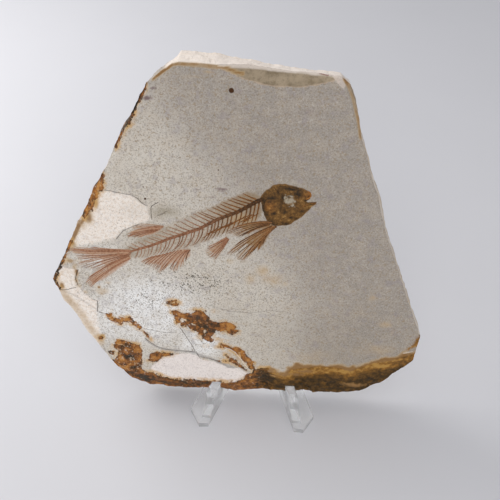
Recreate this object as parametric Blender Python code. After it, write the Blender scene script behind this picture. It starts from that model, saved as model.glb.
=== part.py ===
"""Fossil fish slab on a clear display stand.

A split piece of pale laminated limestone with a small fish skeleton on its face leans back on a
moulded clear plastic stand. Lengths are in millimetres and become metres where a mesh is made.
The slab has its own axes: x to the right, u up along its front face and n out of that face.
"""
import math

import bmesh
import bpy
from mathutils import Vector

MM = 0.001
GAP = 0.3                    # clearance between pieces that touch

# The slab
THICKNESS = 9.0
LEAN = math.radians(18.0)    # how far the slab leans back
SEAT_Z = 10.0                # height of the front face's lower edge
BOTTOM_U = -3.0              # the bottom edge, measured up the face
TOP_U = 112.6
TOP_LEFT_RISE = 1.6          # the broken top slopes up to the back at its left end
TOP_RIGHT_RISE = -0.9        # and down to the back at its right end
TOP_LEFT_END = -18.0         # left of this the corner's side is square to the face

# The stand
STAND_X = 6.4                # middle of the stand
HOOK_Y = -1.5                # where a leg's middle line passes under the slab's front
HOOK_SPACING = 27.0
SPLAY = math.radians(20.0)   # each leg turns outwards by this much
TOE_Y = -11.0
UPRIGHT_TOP_Z = 55.0
WEB_THICKNESS = 3.0
FOOT_OUTER = 6.8             # a foot reaches further outwards from its web than inwards
FOOT_INNER = 1.5
FOOT_THICKNESS = 2.5
TOE = ((4.3, FOOT_OUTER), (0.0, 1.4), (1.3, -FOOT_INNER))   # short of the reach, and outwards
WEB_END = 1.8                # how far a web stops short of its foot's reach
POST_RADIUS = 2.2
POST_Y = HOOK_Y + HOOK_SPACING / 2 / math.tan(SPLAY)
CUTTER_REACH = 40.0          # half the width of the shapes that trim the stand

# The fish
FISH_LIFT = GAP              # the bones lie on the face
BONE_THICKNESS = 0.5
UPPER_SPINE_SPACING = 1.65
RIB_SPACING = 1.45
SPINE_WIDTH = 0.55
SPINE_TIP_WIDTH = 0.3
HEAD_HALF_WIDTH = 1.05       # of the backbone
TAIL_HALF_WIDTH = 0.55
NECK_ABOVE = Vector((0.6, 0.9))     # corners of the backbone's end inside the skull
NECK_BELOW = Vector((0.4, -1.0))
FIRST_SPINE = 0.6            # of a vertebra behind the head
LAST_SPINE = 0.93            # share of the backbone that carries spines

# Colours
LIMESTONE = (0.47, 0.43, 0.38)
FOSSIL_BONE = (0.22, 0.10, 0.045)
CLEAR_PLASTIC = (0.90, 0.93, 0.93)

# Front outline of the slab, clockwise from the top left corner: x, u
OUTLINE = (
    (-17.5, 112.6), (-11.0, 112.6), (-3.0, 112.1), (6.0, 111.6), (15.0, 110.9), (23.0, 110.6),
    (28.6, 110.2), (31.0, 107.8), (32.5, 104.6), (34.5, 98.3), (35.7, 93.0), (38.4, 85.5),
    (40.2, 79.9), (42.2, 75.5), (44.2, 69.0), (45.9, 63.3), (48.2, 57.2), (50.9, 51.0),
    (54.0, 43.1), (57.0, 35.8), (60.3, 28.2), (61.0, 25.0), (60.7, 19.0), (60.6, 14.4),
    (57.6, 11.4), (53.8, 7.8), (50.6, 3.7), (46.6, 0.8), (41.2, -1.5), (36.0, -2.7),
    (29.0, -3.0), (18.0, -3.0), (6.0, -3.0), (-6.0, -3.0), (-18.0, -3.0), (-30.0, -3.0),
    (-33.2, -1.8), (-37.5, 1.0), (-41.0, 5.4), (-44.0, 9.4), (-47.6, 15.5), (-51.0, 20.5),
    (-54.6, 27.2), (-57.6, 32.0), (-60.0, 37.6), (-61.0, 40.0), (-58.0, 45.5), (-55.0, 51.5),
    (-51.8, 58.1), (-48.0, 66.0), (-44.4, 72.9), (-41.4, 78.0), (-38.6, 83.6), (-35.0, 91.0),
    (-32.0, 96.2), (-28.6, 102.5), (-26.7, 105.8), (-24.6, 107.9), (-22.1, 110.0), (-19.1, 112.1),
)
# Rings of the slab from front to back: depth, and how far the broken side stands out there
RINGS = ((0.0, 0.0), (0.9, 0.35), (4.3, 0.45), (6.4, 0.15), (8.2, 0.4), (9.0, 0.0))

BACKBONE = ((7.6, 72.2), (2.9, 69.4), (0.0, 67.6), (-6.0, 64.9), (-12.0, 61.3), (-18.1, 58.7),
            (-24.6, 55.9), (-30.2, 53.6), (-35.2, 51.7))
# Tips of the upper spines and of the ribs and lower spines, at equal steps along the backbone
NEURAL_TIPS = ((3.6, 74.6), (-1.8, 72.1), (-7.6, 69.0), (-13.3, 66.5), (-19.4, 63.3),
               (-24.6, 60.2), (-29.5, 57.2), (-34.0, 55.0), (-38.2, 52.6))
RIB_TIPS = ((6.6, 64.9), (1.7, 63.6), (-4.2, 60.2), (-10.8, 56.8), (-16.6, 54.0),
            (-22.0, 52.6), (-26.9, 51.2), (-31.6, 50.0), (-36.5, 49.6))
SKULL = ((6.9, 71.4), (7.3, 73.8), (8.3, 74.9), (9.3, 75.7), (11.0, 77.4), (14.5, 77.6),
         (18.8, 77.0), (21.7, 75.7), (22.5, 74.7), (22.2, 73.6), (20.9, 72.5), (24.2, 72.3),
         (23.9, 71.6), (21.7, 69.1), (19.1, 66.3), (16.7, 64.4), (13.6, 63.6), (10.6, 63.8),
         (9.0, 65.6), (8.0, 67.8), (7.7, 70.2))
ORBIT_CENTRE = (16.4, 72.5)
ORBIT_RADIUS = 1.9
GILL_COVER_CENTRE = (10.5, 70.0)
GILL_COVER_RADIUS = 2.3
# Fins: outlines whose long points are groups of rays
PECTORAL_FIN = ((11.2, 65.6), (7.7, 64.9), (3.0, 64.0), (-2.0, 62.0), (-3.6, 60.1), (-1.4, 60.5),
                (0.2, 59.5), (2.5, 60.7), (6.5, 61.7), (2.1, 57.8), (-3.3, 52.7), (1.4, 55.0),
                (0.0, 50.8), (3.4, 54.2), (2.1, 50.8), (5.6, 55.2), (6.9, 54.4), (8.9, 57.8),
                (10.6, 61.8), (12.0, 64.2))
PELVIC_FIN = ((-1.9, 61.4), (-2.5, 58.8), (-5.4, 57.5), (-8.9, 54.9), (-10.1, 54.1), (-8.6, 53.4),
              (-9.6, 52.0), (-7.6, 52.8), (-8.5, 51.2), (-6.6, 52.6), (-7.1, 50.6), (-4.4, 54.6),
              (-2.9, 57.8), (-2.2, 58.8), (-1.4, 61.2))
DORSAL_FIN = ((-22.0, 60.6), (-23.4, 61.4), (-26.6, 61.5), (-32.5, 61.0), (-28.9, 60.3),
              (-34.8, 58.4), (-30.4, 58.7), (-34.9, 56.8), (-28.0, 58.0), (-24.0, 59.4))
ANAL_FIN = ((-14.8, 54.4), (-14.7, 52.2), (-15.1, 50.7), (-16.3, 50.6), (-18.1, 47.7),
            (-20.7, 45.4), (-18.4, 50.0), (-20.2, 48.3), (-25.4, 44.6), (-22.4, 48.6),
            (-26.6, 47.1), (-25.2, 49.0), (-30.8, 48.4), (-27.4, 50.6), (-22.2, 52.4),
            (-17.6, 54.6))
TAIL_FIN = ((-33.9, 52.4), (-41.6, 52.7), (-48.2, 52.3), (-54.5, 51.4), (-46.8, 50.6),
            (-53.7, 49.1), (-45.4, 48.9), (-54.5, 47.0), (-44.2, 47.2), (-50.2, 45.9),
            (-42.6, 45.9), (-47.8, 41.8), (-44.4, 43.0), (-50.2, 40.2), (-45.9, 41.0),
            (-48.9, 38.2), (-43.7, 41.4), (-37.4, 46.6), (-34.6, 49.4))

# Thin layers that have flaked off the face: name, depth, outline
LEFT_FLAKE = ((-47.5, 76.8), (-41.4, 73.0), (-37.1, 72.3), (-33.0, 71.7), (-30.0, 69.4),
              (-27.6, 68.2), (-27.3, 63.8), (-30.7, 62.0), (-36.3, 59.3), (-38.7, 56.4),
              (-45.0, 55.6), (-58.0, 57.0))
CORNER_FLAKE = ((-62.0, 46.6), (-56.0, 44.8), (-53.4, 43.4), (-53.6, 40.4), (-52.4, 37.2),
                (-50.5, 35.2), (-47.0, 32.6), (-47.2, 28.6), (-44.2, 27.6), (-43.4, 24.6),
                (-44.6, 17.6), (-47.0, 10.0), (-66.0, 20.0), (-66.0, 40.0))
LOWER_FLAKE = ((-49.0, 17.8), (-43.2, 17.6), (-38.2, 17.3), (-34.8, 17.2), (-32.8, 20.8),
               (-29.5, 17.0), (-25.4, 14.9), (-15.7, 14.2), (-13.4, 13.7), (-12.4, 12.2),
               (-5.0, 10.4), (2.2, 8.6), (6.4, 5.6), (8.4, -4.0), (-50.0, -4.0))
CHALK_HOLLOW = ((-30.2, 5.2), (-27.6, 8.6), (-22.7, 11.7), (-18.0, 12.8), (-13.4, 12.2),
                (-9.5, 10.5), (-2.5, 8.0), (2.0, 7.6), (5.4, 5.3), (0.0, 2.2), (-7.1, 1.8),
                (-21.3, 1.5), (-27.3, 3.0))
STAINED_HOLLOW = ((-21.8, 30.4), (-18.0, 29.7), (-13.1, 31.0), (-10.2, 30.0), (-7.6, 27.1),
                  (-1.2, 26.6), (1.4, 24.0), (-3.6, 23.1), (-7.6, 22.2), (-8.0, 18.6),
                  (-10.6, 19.6), (-15.5, 23.7), (-20.4, 26.0))
DIAGONAL_HOLLOW = ((-5.3, 18.2), (-1.2, 16.9), (2.6, 15.8), (6.5, 11.4), (7.4, 8.4), (5.4, 6.6),
                   (1.7, 10.3), (-2.5, 15.0))
HOLLOWS = (
    ("left_flake", 0.4, LEFT_FLAKE),
    ("corner_flake", 0.8, CORNER_FLAKE),
    ("lower_flake", 0.55, LOWER_FLAKE),
    ("chalk_hollow", 1.1, CHALK_HOLLOW),
    ("stained_hollow", 0.5, STAINED_HOLLOW),
    ("diagonal_hollow", 0.45, DIAGONAL_HOLLOW),
)
# Broken, sloping edges, taken with the slab on the left hand. Each station has the x and u where
# the slope starts, the width of the slope and its drop at that width.
BROKEN_EDGES = (
    ("lower_edge", (
        (-49.0, 18.6, 2.5, 0.9), (-46.2, 14.8, 3.8, 1.6), (-43.0, 11.0, 4.6, 2.2),
        (-39.0, 7.0, 5.0, 2.4), (-35.0, 4.3, 5.0, 2.4), (-30.0, 2.7, 4.6, 2.4),
        (-20.0, 2.0, 4.2, 1.9), (-8.0, 2.1, 4.2, 2.6), (0.6, 2.4, 4.4, 2.1),
        (4.6, 4.4, 6.2, 2.8), (7.0, 8.2, 10.0, 3.2), (10.5, 9.3, 11.0, 3.4),
        (12.8, 7.6, 9.8, 3.4), (17.2, 6.4, 8.5, 3.3), (19.6, 9.4, 11.5, 3.4),
        (24.0, 10.4, 12.5, 3.5), (31.0, 11.4, 13.5, 3.5), (36.0, 11.3, 13.0, 3.5),
        (39.6, 10.2, 11.5, 3.5), (44.0, 12.8, 12.0, 3.5), (49.4, 14.6, 11.0, 3.4),
        (54.2, 16.2, 8.0, 3.2), (57.6, 17.8, 6.0, 3.0), (59.4, 21.0, 4.0, 2.4),
        (60.2, 24.6, 2.4, 1.2),
    )),
    ("upper_right_edge", (
        (37.2, 88.0, 1.2, 0.5), (35.2, 93.0, 1.6, 1.2), (33.6, 98.2, 2.2, 1.8),
        (31.2, 104.6, 2.4, 2.0), (29.0, 109.6, 2.4, 2.0), (28.0, 112.0, 2.4, 2.0),
    )),
    ("upper_left_edge", (
        (-25.0, 108.0, 1.0, 0.8), (-27.4, 103.4, 1.6, 1.6), (-30.8, 97.0, 1.6, 1.8),
        (-32.9, 93.4, 2.2, 2.0), (-35.8, 88.0, 1.4, 1.6), (-37.6, 84.6, 0.8, 0.8),
    )),
    ("left_edge", (
        (-40.6, 78.6, 0.8, 0.8), (-41.4, 74.2, 2.4, 2.0), (-44.4, 69.4, 2.6, 2.0),
        (-46.6, 64.4, 2.2, 1.6), (-49.4, 61.0, 0.9, 0.8),
    )),
)
SCAR_CENTRE = (13.5, 147.0)  # the shell-shaped scar is cut by a ball centred above this point
SCAR_RADIUS = 75.0
SCAR_REACH = 40.0            # radius of the scar's curved edge on the face


def on_face(x, u, n=0.0):
    """Place of a point of the slab's own axes, in metres, before the slab is leaned back."""
    return Vector((x, -n, u)) * MM


def clear_scene():
    for item in list(bpy.data.objects):
        bpy.data.objects.remove(item, do_unlink=True)


def new_collection(name):
    collection = bpy.data.collections.new(name)
    bpy.context.scene.collection.children.link(collection)
    return collection


def make_material(name, color, roughness, alpha=1.0, metallic=0.0):
    material = bpy.data.materials.new(name)
    material.use_nodes = True
    shader = material.node_tree.nodes["Principled BSDF"]
    shader.inputs["Base Color"].default_value = (*color, 1.0)
    shader.inputs["Roughness"].default_value = roughness
    shader.inputs["Metallic"].default_value = metallic
    shader.inputs["Alpha"].default_value = alpha
    return material


def new_object(name, data, collection, parent=None):
    item = bpy.data.objects.new(name, data)
    collection.objects.link(item)
    item.parent = parent
    return item


def mesh_object(name, shape, collection, parent=None):
    """An object from a bmesh, with its faces turned outwards."""
    bmesh.ops.recalc_face_normals(shape, faces=shape.faces)
    mesh = bpy.data.meshes.new(name)
    shape.to_mesh(mesh)
    shape.free()
    return new_object(name, mesh, collection, parent)


def hide_cutter(item):
    item.hide_render = True
    item.display_type = "WIRE"
    return item


def flat_curve(name, outlines, thickness):
    """A filled 2D curve of closed outlines, given in millimetres, with an even thickness."""
    curve = bpy.data.curves.new(name, "CURVE")
    curve.dimensions = "2D"
    curve.fill_mode = "BOTH"
    curve.extrude = thickness * MM / 2
    for outline in outlines:
        spline = curve.splines.new("POLY")
        spline.points.add(len(outline) - 1)
        for point, (across, up) in zip(spline.points, outline):
            point.co = (across * MM, up * MM, 0.0, 1.0)
        spline.use_cyclic_u = True
    return curve


def solid_from_curve(name, curve, collection, parent, location, rotation):
    """Turn a filled curve into a closed mesh object where the curve would lie."""
    item = new_object(name + "_curve", curve, collection, parent)
    item.location = location
    item.rotation_euler = rotation
    bpy.context.view_layer.update()
    evaluated = item.evaluated_get(bpy.context.evaluated_depsgraph_get())
    mesh = bpy.data.meshes.new_from_object(evaluated)
    place = item.matrix_world.copy()
    bpy.data.objects.remove(item, do_unlink=True)
    shape = bmesh.new()
    shape.from_mesh(mesh)
    bmesh.ops.remove_doubles(shape, verts=shape.verts, dist=0.000001)
    bmesh.ops.recalc_face_normals(shape, faces=shape.faces)
    shape.to_mesh(mesh)
    shape.free()
    solid = new_object(name, mesh, collection)
    solid.matrix_world = place
    return solid


def face_plate(name, outlines, low, high, collection, seat):
    """A plate that follows the slab's face, from n = low to n = high."""
    curve = flat_curve(name, outlines, high - low)
    middle = on_face(0.0, 0.0, (low + high) / 2)
    upright = (math.radians(90.0), 0.0, 0.0)
    return solid_from_curve(name, curve, collection, seat, middle, upright)


def add_boolean(target, operand, operation):
    modifier = target.modifiers.new(operation.lower() + "_" + operand.name, "BOOLEAN")
    modifier.operation = operation
    modifier.solver = "EXACT"
    if isinstance(operand, bpy.types.Collection):
        modifier.operand_type = "COLLECTION"
        modifier.collection = operand
    else:
        modifier.object = operand
    return modifier


def polyline_point(points, share):
    """The point that lies the given share of the way along a polyline."""
    steps = [(Vector(b) - Vector(a)).length for a, b in zip(points, points[1:])]
    left = share * sum(steps)
    for start, end, step in zip(points, points[1:], steps):
        if left <= step:
            break
        left -= step
    return Vector(start).lerp(Vector(end), min(left / step, 1.0))


def step_point(points, share):
    """The point at the given share of a list of points, with equal shares from point to point."""
    place = min(share, 0.999) * (len(points) - 1)
    index = int(place)
    return Vector(points[index]).lerp(Vector(points[index + 1]), place - index)


def outward_normals(outline):
    """Unit directions that point out of a clockwise outline at each of its points."""
    normals = []
    count = len(outline)
    for index in range(count):
        before = Vector(outline[index - 1])
        after = Vector(outline[(index + 1) % count])
        along = (after - before).normalized()
        normals.append(Vector((-along.y, along.x)))
    return normals


# ---------------------------------------------------------------- the slab

def top_slope(x, u):
    """How much higher the back of the top is than its front."""
    if u < TOP_U - 5.0 or x < TOP_LEFT_END:
        return 0.0
    right_share = min(max((x + 17.0) / 42.0, 0.0), 1.0)
    return TOP_LEFT_RISE + (TOP_RIGHT_RISE - TOP_LEFT_RISE) * right_share


def slab_blank():
    """Loft the outline through the rings; the side wavers a little from ring to ring."""
    shape = bmesh.new()
    normals = outward_normals(OUTLINE)
    rings = []
    for depth, stand_out in RINGS:
        ring = []
        for index, ((x, u), normal) in enumerate(zip(OUTLINE, normals)):
            bottom = u <= BOTTOM_U + 0.3
            waver = 0.25 * math.sin(2.4 * index + 1.7 * depth) if depth > 0.5 else 0.0
            push = 0.0 if bottom else stand_out + waver * min(stand_out * 4.0, 1.0)
            rise = top_slope(x, u) * depth / THICKNESS
            place = (x + normal.x * push, u + normal.y * push + rise)
            ring.append(shape.verts.new(on_face(*place, -depth)))
        rings.append(ring)
    for front, back in zip(rings, rings[1:]):
        for index in range(len(OUTLINE)):
            after = (index + 1) % len(OUTLINE)
            shape.faces.new((front[index], front[after], back[after], back[index]))
    shape.faces.new(rings[0])
    shape.faces.new(reversed(rings[-1]))
    return shape


def edge_cutter(name, stations, collection, seat):
    """Loft a block along a broken edge; its underside is the slope that is left on the slab."""
    above = 8.0
    reach = 1.6
    first_step = 0.15
    shape = bmesh.new()
    loops = []
    last = len(stations) - 1
    for index, (x, u, width, drop) in enumerate(stations):
        before = Vector(stations[max(index - 3, 0)][:2])
        after = Vector(stations[min(index + 3, last)][:2])
        along = (after - before).normalized()
        inner = Vector((x, u))
        outer = inner + Vector((along.y, -along.x)) * width * reach
        corners = (
            on_face(inner.x, inner.y, -first_step),
            on_face(outer.x, outer.y, -drop * reach),
            on_face(outer.x, outer.y, above),
            on_face(inner.x, inner.y, above),
        )
        loops.append([shape.verts.new(corner) for corner in corners])
    for start, end in zip(loops, loops[1:]):
        for index in range(4):
            after = (index + 1) % 4
            shape.faces.new((start[index], start[after], end[after], end[index]))
    shape.faces.new(loops[0])
    shape.faces.new(loops[-1])
    return hide_cutter(mesh_object(name, shape, collection, seat))


def scar_cutter(collection, seat):
    """A ball that dips into the face at the top, as a struck flake leaves it."""
    height = math.sqrt(SCAR_RADIUS ** 2 - SCAR_REACH ** 2)
    shape = bmesh.new()
    bmesh.ops.create_uvsphere(shape, u_segments=72, v_segments=36, radius=SCAR_RADIUS * MM)
    cutter = mesh_object("scar_cutter", shape, collection, seat)
    cutter.location = on_face(*SCAR_CENTRE, height)
    return hide_cutter(cutter)


def build_slab(parts, cutters, seat):
    slab = mesh_object("stone_slab", slab_blank(), parts, seat)
    slab.data.materials.append(make_material("limestone", LIMESTONE, 0.85))
    for name, depth, outline in HOLLOWS:
        cutter = face_plate(name, (outline,), -depth, 6.0, cutters, seat)
        add_boolean(slab, hide_cutter(cutter), "DIFFERENCE")
    for name, stations in BROKEN_EDGES:
        add_boolean(slab, edge_cutter(name, stations, cutters, seat), "DIFFERENCE")
    add_boolean(slab, scar_cutter(cutters, seat), "DIFFERENCE")
    return slab


# ---------------------------------------------------------------- the fish

def backbone_half_width(share):
    """Half the backbone's width at a share of its length from the head."""
    return HEAD_HALF_WIDTH + (TAIL_HALF_WIDTH - HEAD_HALF_WIDTH) * share


def comb_edge(tips, side, spacing):
    """Points along one edge of the backbone, with a pointed spine out to each tip."""
    length = sum((Vector(b) - Vector(a)).length for a, b in zip(BACKBONE, BACKBONE[1:]))
    count = int(length * LAST_SPINE / spacing)
    points = []
    for index in range(count):
        share = LAST_SPINE * (index + FIRST_SPINE) / count
        base = polyline_point(BACKBONE, share)
        ahead = polyline_point(BACKBONE, max(share - 0.01, 0.0))
        along = (base - ahead).normalized()
        across = Vector((along.y, -along.x)) * side
        edge = base + across * backbone_half_width(share)
        tip = step_point(tips, share)
        spine = (tip - edge).normalized()
        half_tip = Vector((spine.y, -spine.x)) * SPINE_TIP_WIDTH / 2
        if half_tip.dot(along) < 0.0:
            half_tip.negate()
        points.append(edge - along * SPINE_WIDTH / 2)
        points.append(tip - half_tip)
        points.append(tip + half_tip)
        points.append(edge + along * SPINE_WIDTH / 2)
    return points


def skeleton_comb():
    """Outline of the backbone with its upper spines, and back with its ribs and lower spines."""
    head = Vector(BACKBONE[0])
    tail = Vector(BACKBONE[-1])
    upper = comb_edge(NEURAL_TIPS, 1.0, UPPER_SPINE_SPACING)
    lower = comb_edge(RIB_TIPS, -1.0, RIB_SPACING)
    outline = [head + NECK_ABOVE] + upper + [tail]
    return outline + lower[::-1] + [head + NECK_BELOW]


def circle(centre, radius, count):
    angles = [2.0 * math.pi * index / count for index in range(count)]
    return [(centre[0] + radius * math.cos(a), centre[1] + radius * math.sin(a)) for a in angles]


def dome(name, centre, radius, rise, collection, seat):
    """A flattened ball that stands out of the bones, for the gill cover."""
    shape = bmesh.new()
    bmesh.ops.create_uvsphere(shape, u_segments=20, v_segments=10, radius=radius * MM)
    flatten = Vector((1.0, rise / radius, 1.0))
    bmesh.ops.scale(shape, vec=flatten, verts=shape.verts)
    item = mesh_object(name, shape, collection, seat)
    item.location = on_face(*centre, FISH_LIFT + BONE_THICKNESS)
    return hide_cutter(item)


def build_fish(parts, joined, seat):
    """One skeleton: the comb of backbone, spines and ribs, joined with the skull and the fins.

    The joined plates start and end at slightly different levels, so none of their faces meet
    in one plane.
    """
    low = FISH_LIFT
    high = FISH_LIFT + BONE_THICKNESS
    fish = face_plate("fish_skeleton", (skeleton_comb(),), low, high, parts, seat)
    fish.data.materials.append(make_material("fossil_bone", FOSSIL_BONE, 0.6))
    skull_outlines = (SKULL, circle(ORBIT_CENTRE, ORBIT_RADIUS, 20))
    hide_cutter(face_plate("skull", skull_outlines, low + 0.02, high + 0.2, joined, seat))
    fins = (
        ("pectoral_fin", PECTORAL_FIN), ("pelvic_fin", PELVIC_FIN), ("dorsal_fin", DORSAL_FIN),
        ("anal_fin", ANAL_FIN), ("tail_fin", TAIL_FIN),
    )
    for index, (name, outline) in enumerate(fins):
        step = 0.02 * (index + 2)
        hide_cutter(face_plate(name, (outline,), low + step, high - step, joined, seat))
    dome("gill_cover", GILL_COVER_CENTRE, GILL_COVER_RADIUS, 0.4, joined, seat)
    add_boolean(fish, joined, "UNION")
    return fish


# ---------------------------------------------------------------- the stand

def splayed_plan(inner, outer, reach, end):
    """Plan of the two legs as one outline, symmetric about x = 0, with the post at y = 0.

    inner and outer are how far the sides are from a leg's middle line. end gives the corners of
    a leg's end from its outer to its inner side: how far short of the reach and how far outwards.
    """
    ahead = Vector((math.sin(SPLAY), -math.cos(SPLAY)))
    outward = Vector((math.cos(SPLAY), math.sin(SPLAY)))
    crotch = Vector((0.0, -inner / math.sin(SPLAY)))
    right = [outward * outer]
    right += [outward * aside + ahead * (reach - short) for short, aside in end]
    left = [Vector((-point.x, point.y)) for point in reversed(right)]
    return right + [crotch] + left


def leg_side_view():
    """Side view of the webs: y behind the seat and height. The slab's slot is cut afterwards."""
    low = FOOT_THICKNESS * 0.6
    far = POST_Y + FOOT_OUTER
    return (
        (far, low), (TOE_Y + 2.2, low), (TOE_Y + 3.2, 3.4), (-5.6, 7.0), (-4.6, 9.0),
        (-4.0, 11.6), (-3.0, 12.4), (-0.6, 12.3), (3.4, 12.3), (13.0, 30.0),
        (22.0, UPRIGHT_TOP_Z - 0.6), (23.0, UPRIGHT_TOP_Z), (far, UPRIGHT_TOP_Z),
    )


def build_stand(parts, joined, cutters, base, seat):
    """Two splayed webs on flat feet that meet at a round post, with the slab's slot cut in."""
    reach = (POST_Y - TOE_Y) / math.cos(SPLAY)
    post_place = Vector((STAND_X, POST_Y, 0.0)) * MM
    half = WEB_THICKNESS / 2
    plan = splayed_plan(half, half, reach, ((WEB_END, half), (WEB_END, -half)))
    webs = flat_curve("webs", (plan,), UPRIGHT_TOP_Z)
    middle = Vector((0.0, 0.0, UPRIGHT_TOP_Z * MM / 2 + 0.3 * MM))
    stand = solid_from_curve("display_stand", webs, parts, base, post_place + middle,
                             (0.0, 0.0, 0.0))
    stand.data.materials.append(make_material("clear_plastic", CLEAR_PLASTIC, 0.08, 0.3))

    side_view = flat_curve("leg_side_view", (leg_side_view(),), 2 * CUTTER_REACH)
    on_side = (math.radians(90.0), 0.0, math.radians(90.0))
    side_cutter = solid_from_curve("leg_side_view", side_view, cutters, base,
                                   Vector((STAND_X, 0.0, 0.0)) * MM, on_side)
    add_boolean(stand, hide_cutter(side_cutter), "INTERSECT")

    foot_plan = splayed_plan(FOOT_INNER, FOOT_OUTER, reach, TOE)
    feet = flat_curve("feet", (foot_plan,), FOOT_THICKNESS)
    lift = Vector((0.0, 0.0, FOOT_THICKNESS * MM / 2))
    hide_cutter(solid_from_curve("feet", feet, joined, base, post_place + lift, (0.0, 0.0, 0.0)))

    post_low = FOOT_THICKNESS * 0.4
    post_height = UPRIGHT_TOP_Z + 0.8 - post_low
    shape = bmesh.new()
    bmesh.ops.create_cone(shape, cap_ends=True, segments=24, radius1=POST_RADIUS * MM,
                          radius2=POST_RADIUS * MM, depth=post_height * MM)
    post = hide_cutter(mesh_object("post", shape, joined, base))
    post.location = post_place + Vector((0.0, 0.0, (post_low + post_height / 2) * MM))
    bpy.context.view_layer.update()
    add_boolean(stand, joined, "UNION")

    slot_low = BOTTOM_U - GAP
    slot = ((-CUTTER_REACH, slot_low), (CUTTER_REACH, slot_low),
            (CUTTER_REACH, TOP_U), (-CUTTER_REACH, TOP_U))
    cutter = face_plate("slab_slot", (slot,), -THICKNESS - GAP, GAP, cutters, seat)
    add_boolean(stand, hide_cutter(cutter), "DIFFERENCE")
    return stand


def main():
    clear_scene()
    parts = new_collection("fossil_fish_slab")
    cutters = new_collection("cutters")
    fish_pieces = new_collection("fish_pieces")
    stand_pieces = new_collection("stand_pieces")

    # The origin is on the floor, under the middle of the whole object's box.
    top_back_y = (TOP_U + TOP_LEFT_RISE) * math.sin(LEAN) + THICKNESS * math.cos(LEAN)
    toe_front_y = TOE_Y + TOE[1][1] * math.sin(SPLAY)
    base = new_object("base_frame", None, parts)
    base.location = Vector((0.0, -(top_back_y + toe_front_y) / 2, 0.0)) * MM
    seat = new_object("slab_frame", None, parts, base)
    seat.location = Vector((0.0, 0.0, SEAT_Z)) * MM
    seat.rotation_euler = (-LEAN, 0.0, 0.0)
    bpy.context.view_layer.update()

    build_slab(parts, cutters, seat)
    build_fish(parts, fish_pieces, seat)
    build_stand(parts, stand_pieces, cutters, base, seat)


main()
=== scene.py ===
"""A small fossil fish in a slab of split limestone, leaning back on a clear plastic stand.

Lengths are in millimetres on the slab's own axes: x to the right, u up the face and n out of the
face. on_slab() turns them into metres in the frame of the CAD model.
"""
import math

import bmesh
import bpy
import numpy as np
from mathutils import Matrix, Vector


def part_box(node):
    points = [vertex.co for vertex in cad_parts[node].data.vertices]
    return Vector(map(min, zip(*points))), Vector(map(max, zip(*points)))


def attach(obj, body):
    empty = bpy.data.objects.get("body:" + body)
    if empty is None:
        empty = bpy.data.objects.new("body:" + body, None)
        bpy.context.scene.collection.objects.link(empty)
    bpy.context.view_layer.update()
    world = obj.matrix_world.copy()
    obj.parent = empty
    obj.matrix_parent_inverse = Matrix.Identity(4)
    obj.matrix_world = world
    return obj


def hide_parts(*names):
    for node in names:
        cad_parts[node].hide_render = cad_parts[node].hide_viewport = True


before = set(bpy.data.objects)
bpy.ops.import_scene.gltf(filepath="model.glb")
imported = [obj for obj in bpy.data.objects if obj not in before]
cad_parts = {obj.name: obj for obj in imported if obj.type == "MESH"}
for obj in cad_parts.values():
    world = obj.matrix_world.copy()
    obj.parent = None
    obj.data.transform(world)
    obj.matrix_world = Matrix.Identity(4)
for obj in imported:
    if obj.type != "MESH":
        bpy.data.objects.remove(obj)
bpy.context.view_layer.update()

# ---------------------------------------------------------------- the slab's axes

MM = 0.001
LEAN = math.radians(18.0)
THICKNESS = 9.0
SEAT_Z = 10.0                 # height of the slab's origin above the floor
TOE_FRONT = 10.52             # how far the stand's toes reach in front of it
SEAT_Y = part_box("display_stand")[0].y / MM + TOE_FRONT
AXES = np.array((
    (1.0, 0.0, 0.0),
    (0.0, math.sin(LEAN), math.cos(LEAN)),
    (0.0, -math.cos(LEAN), math.sin(LEAN)),
))
FAR_AWAY = 60.0               # a distance past every place that a line or a bone reaches
LONGEST = 8.0                 # the distances stored on the slab's points stop here
IN_PLANE = (1.0, 1.0, 0.0)    # times this, points lie in the plane of the face


def on_slab(points):
    """Metres in the frame, for rows of x, u, n."""
    return (points @ AXES + (0.0, SEAT_Y, SEAT_Z)) * MM


# ---------------------------------------------------------------- numbers over many points

def smooth_step(low, high, value):
    """0 below low, 1 above high, and the cubic 3t^2 - 2t^3 between them."""
    share = np.clip((value - low) / (high - low), 0.0, 1.0)
    return share * share * (3.0 - 2.0 * share)


def grain(points, size, seed):
    """Smooth noise from -1 to 1.

    Each corner of a cubic lattice has a fixed random value, and a point takes the mean of its
    cell's eight corners, weighted by 3t^2 - 2t^3 along each axis.
    """
    scaled = points / size
    cell = np.floor(scaled).astype(np.int64)
    part = scaled - cell
    part = part * part * (3.0 - 2.0 * part)
    total = np.zeros(len(points))
    for corner in range(8):
        step = np.array((corner & 1, corner >> 1 & 1, corner >> 2))
        key = (cell + step) @ np.array((73856093, 19349663, 83492791)) + seed * 982451653
        key = (key ^ (key >> 13)) * 1274126177
        value = ((key ^ (key >> 16)) & 65535) / 32767.5 - 1.0
        total += value * np.prod(np.where(step, part, 1.0 - part), axis=1)
    return total


def rough(points, size, octaves, seed):
    """Noise on several scales: each is half as large and half as strong as the one before."""
    total = np.zeros(len(points))
    for octave in range(octaves):
        total += grain(points, size / 2.0 ** octave, seed + octave) / 2.0 ** octave
    return total


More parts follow.
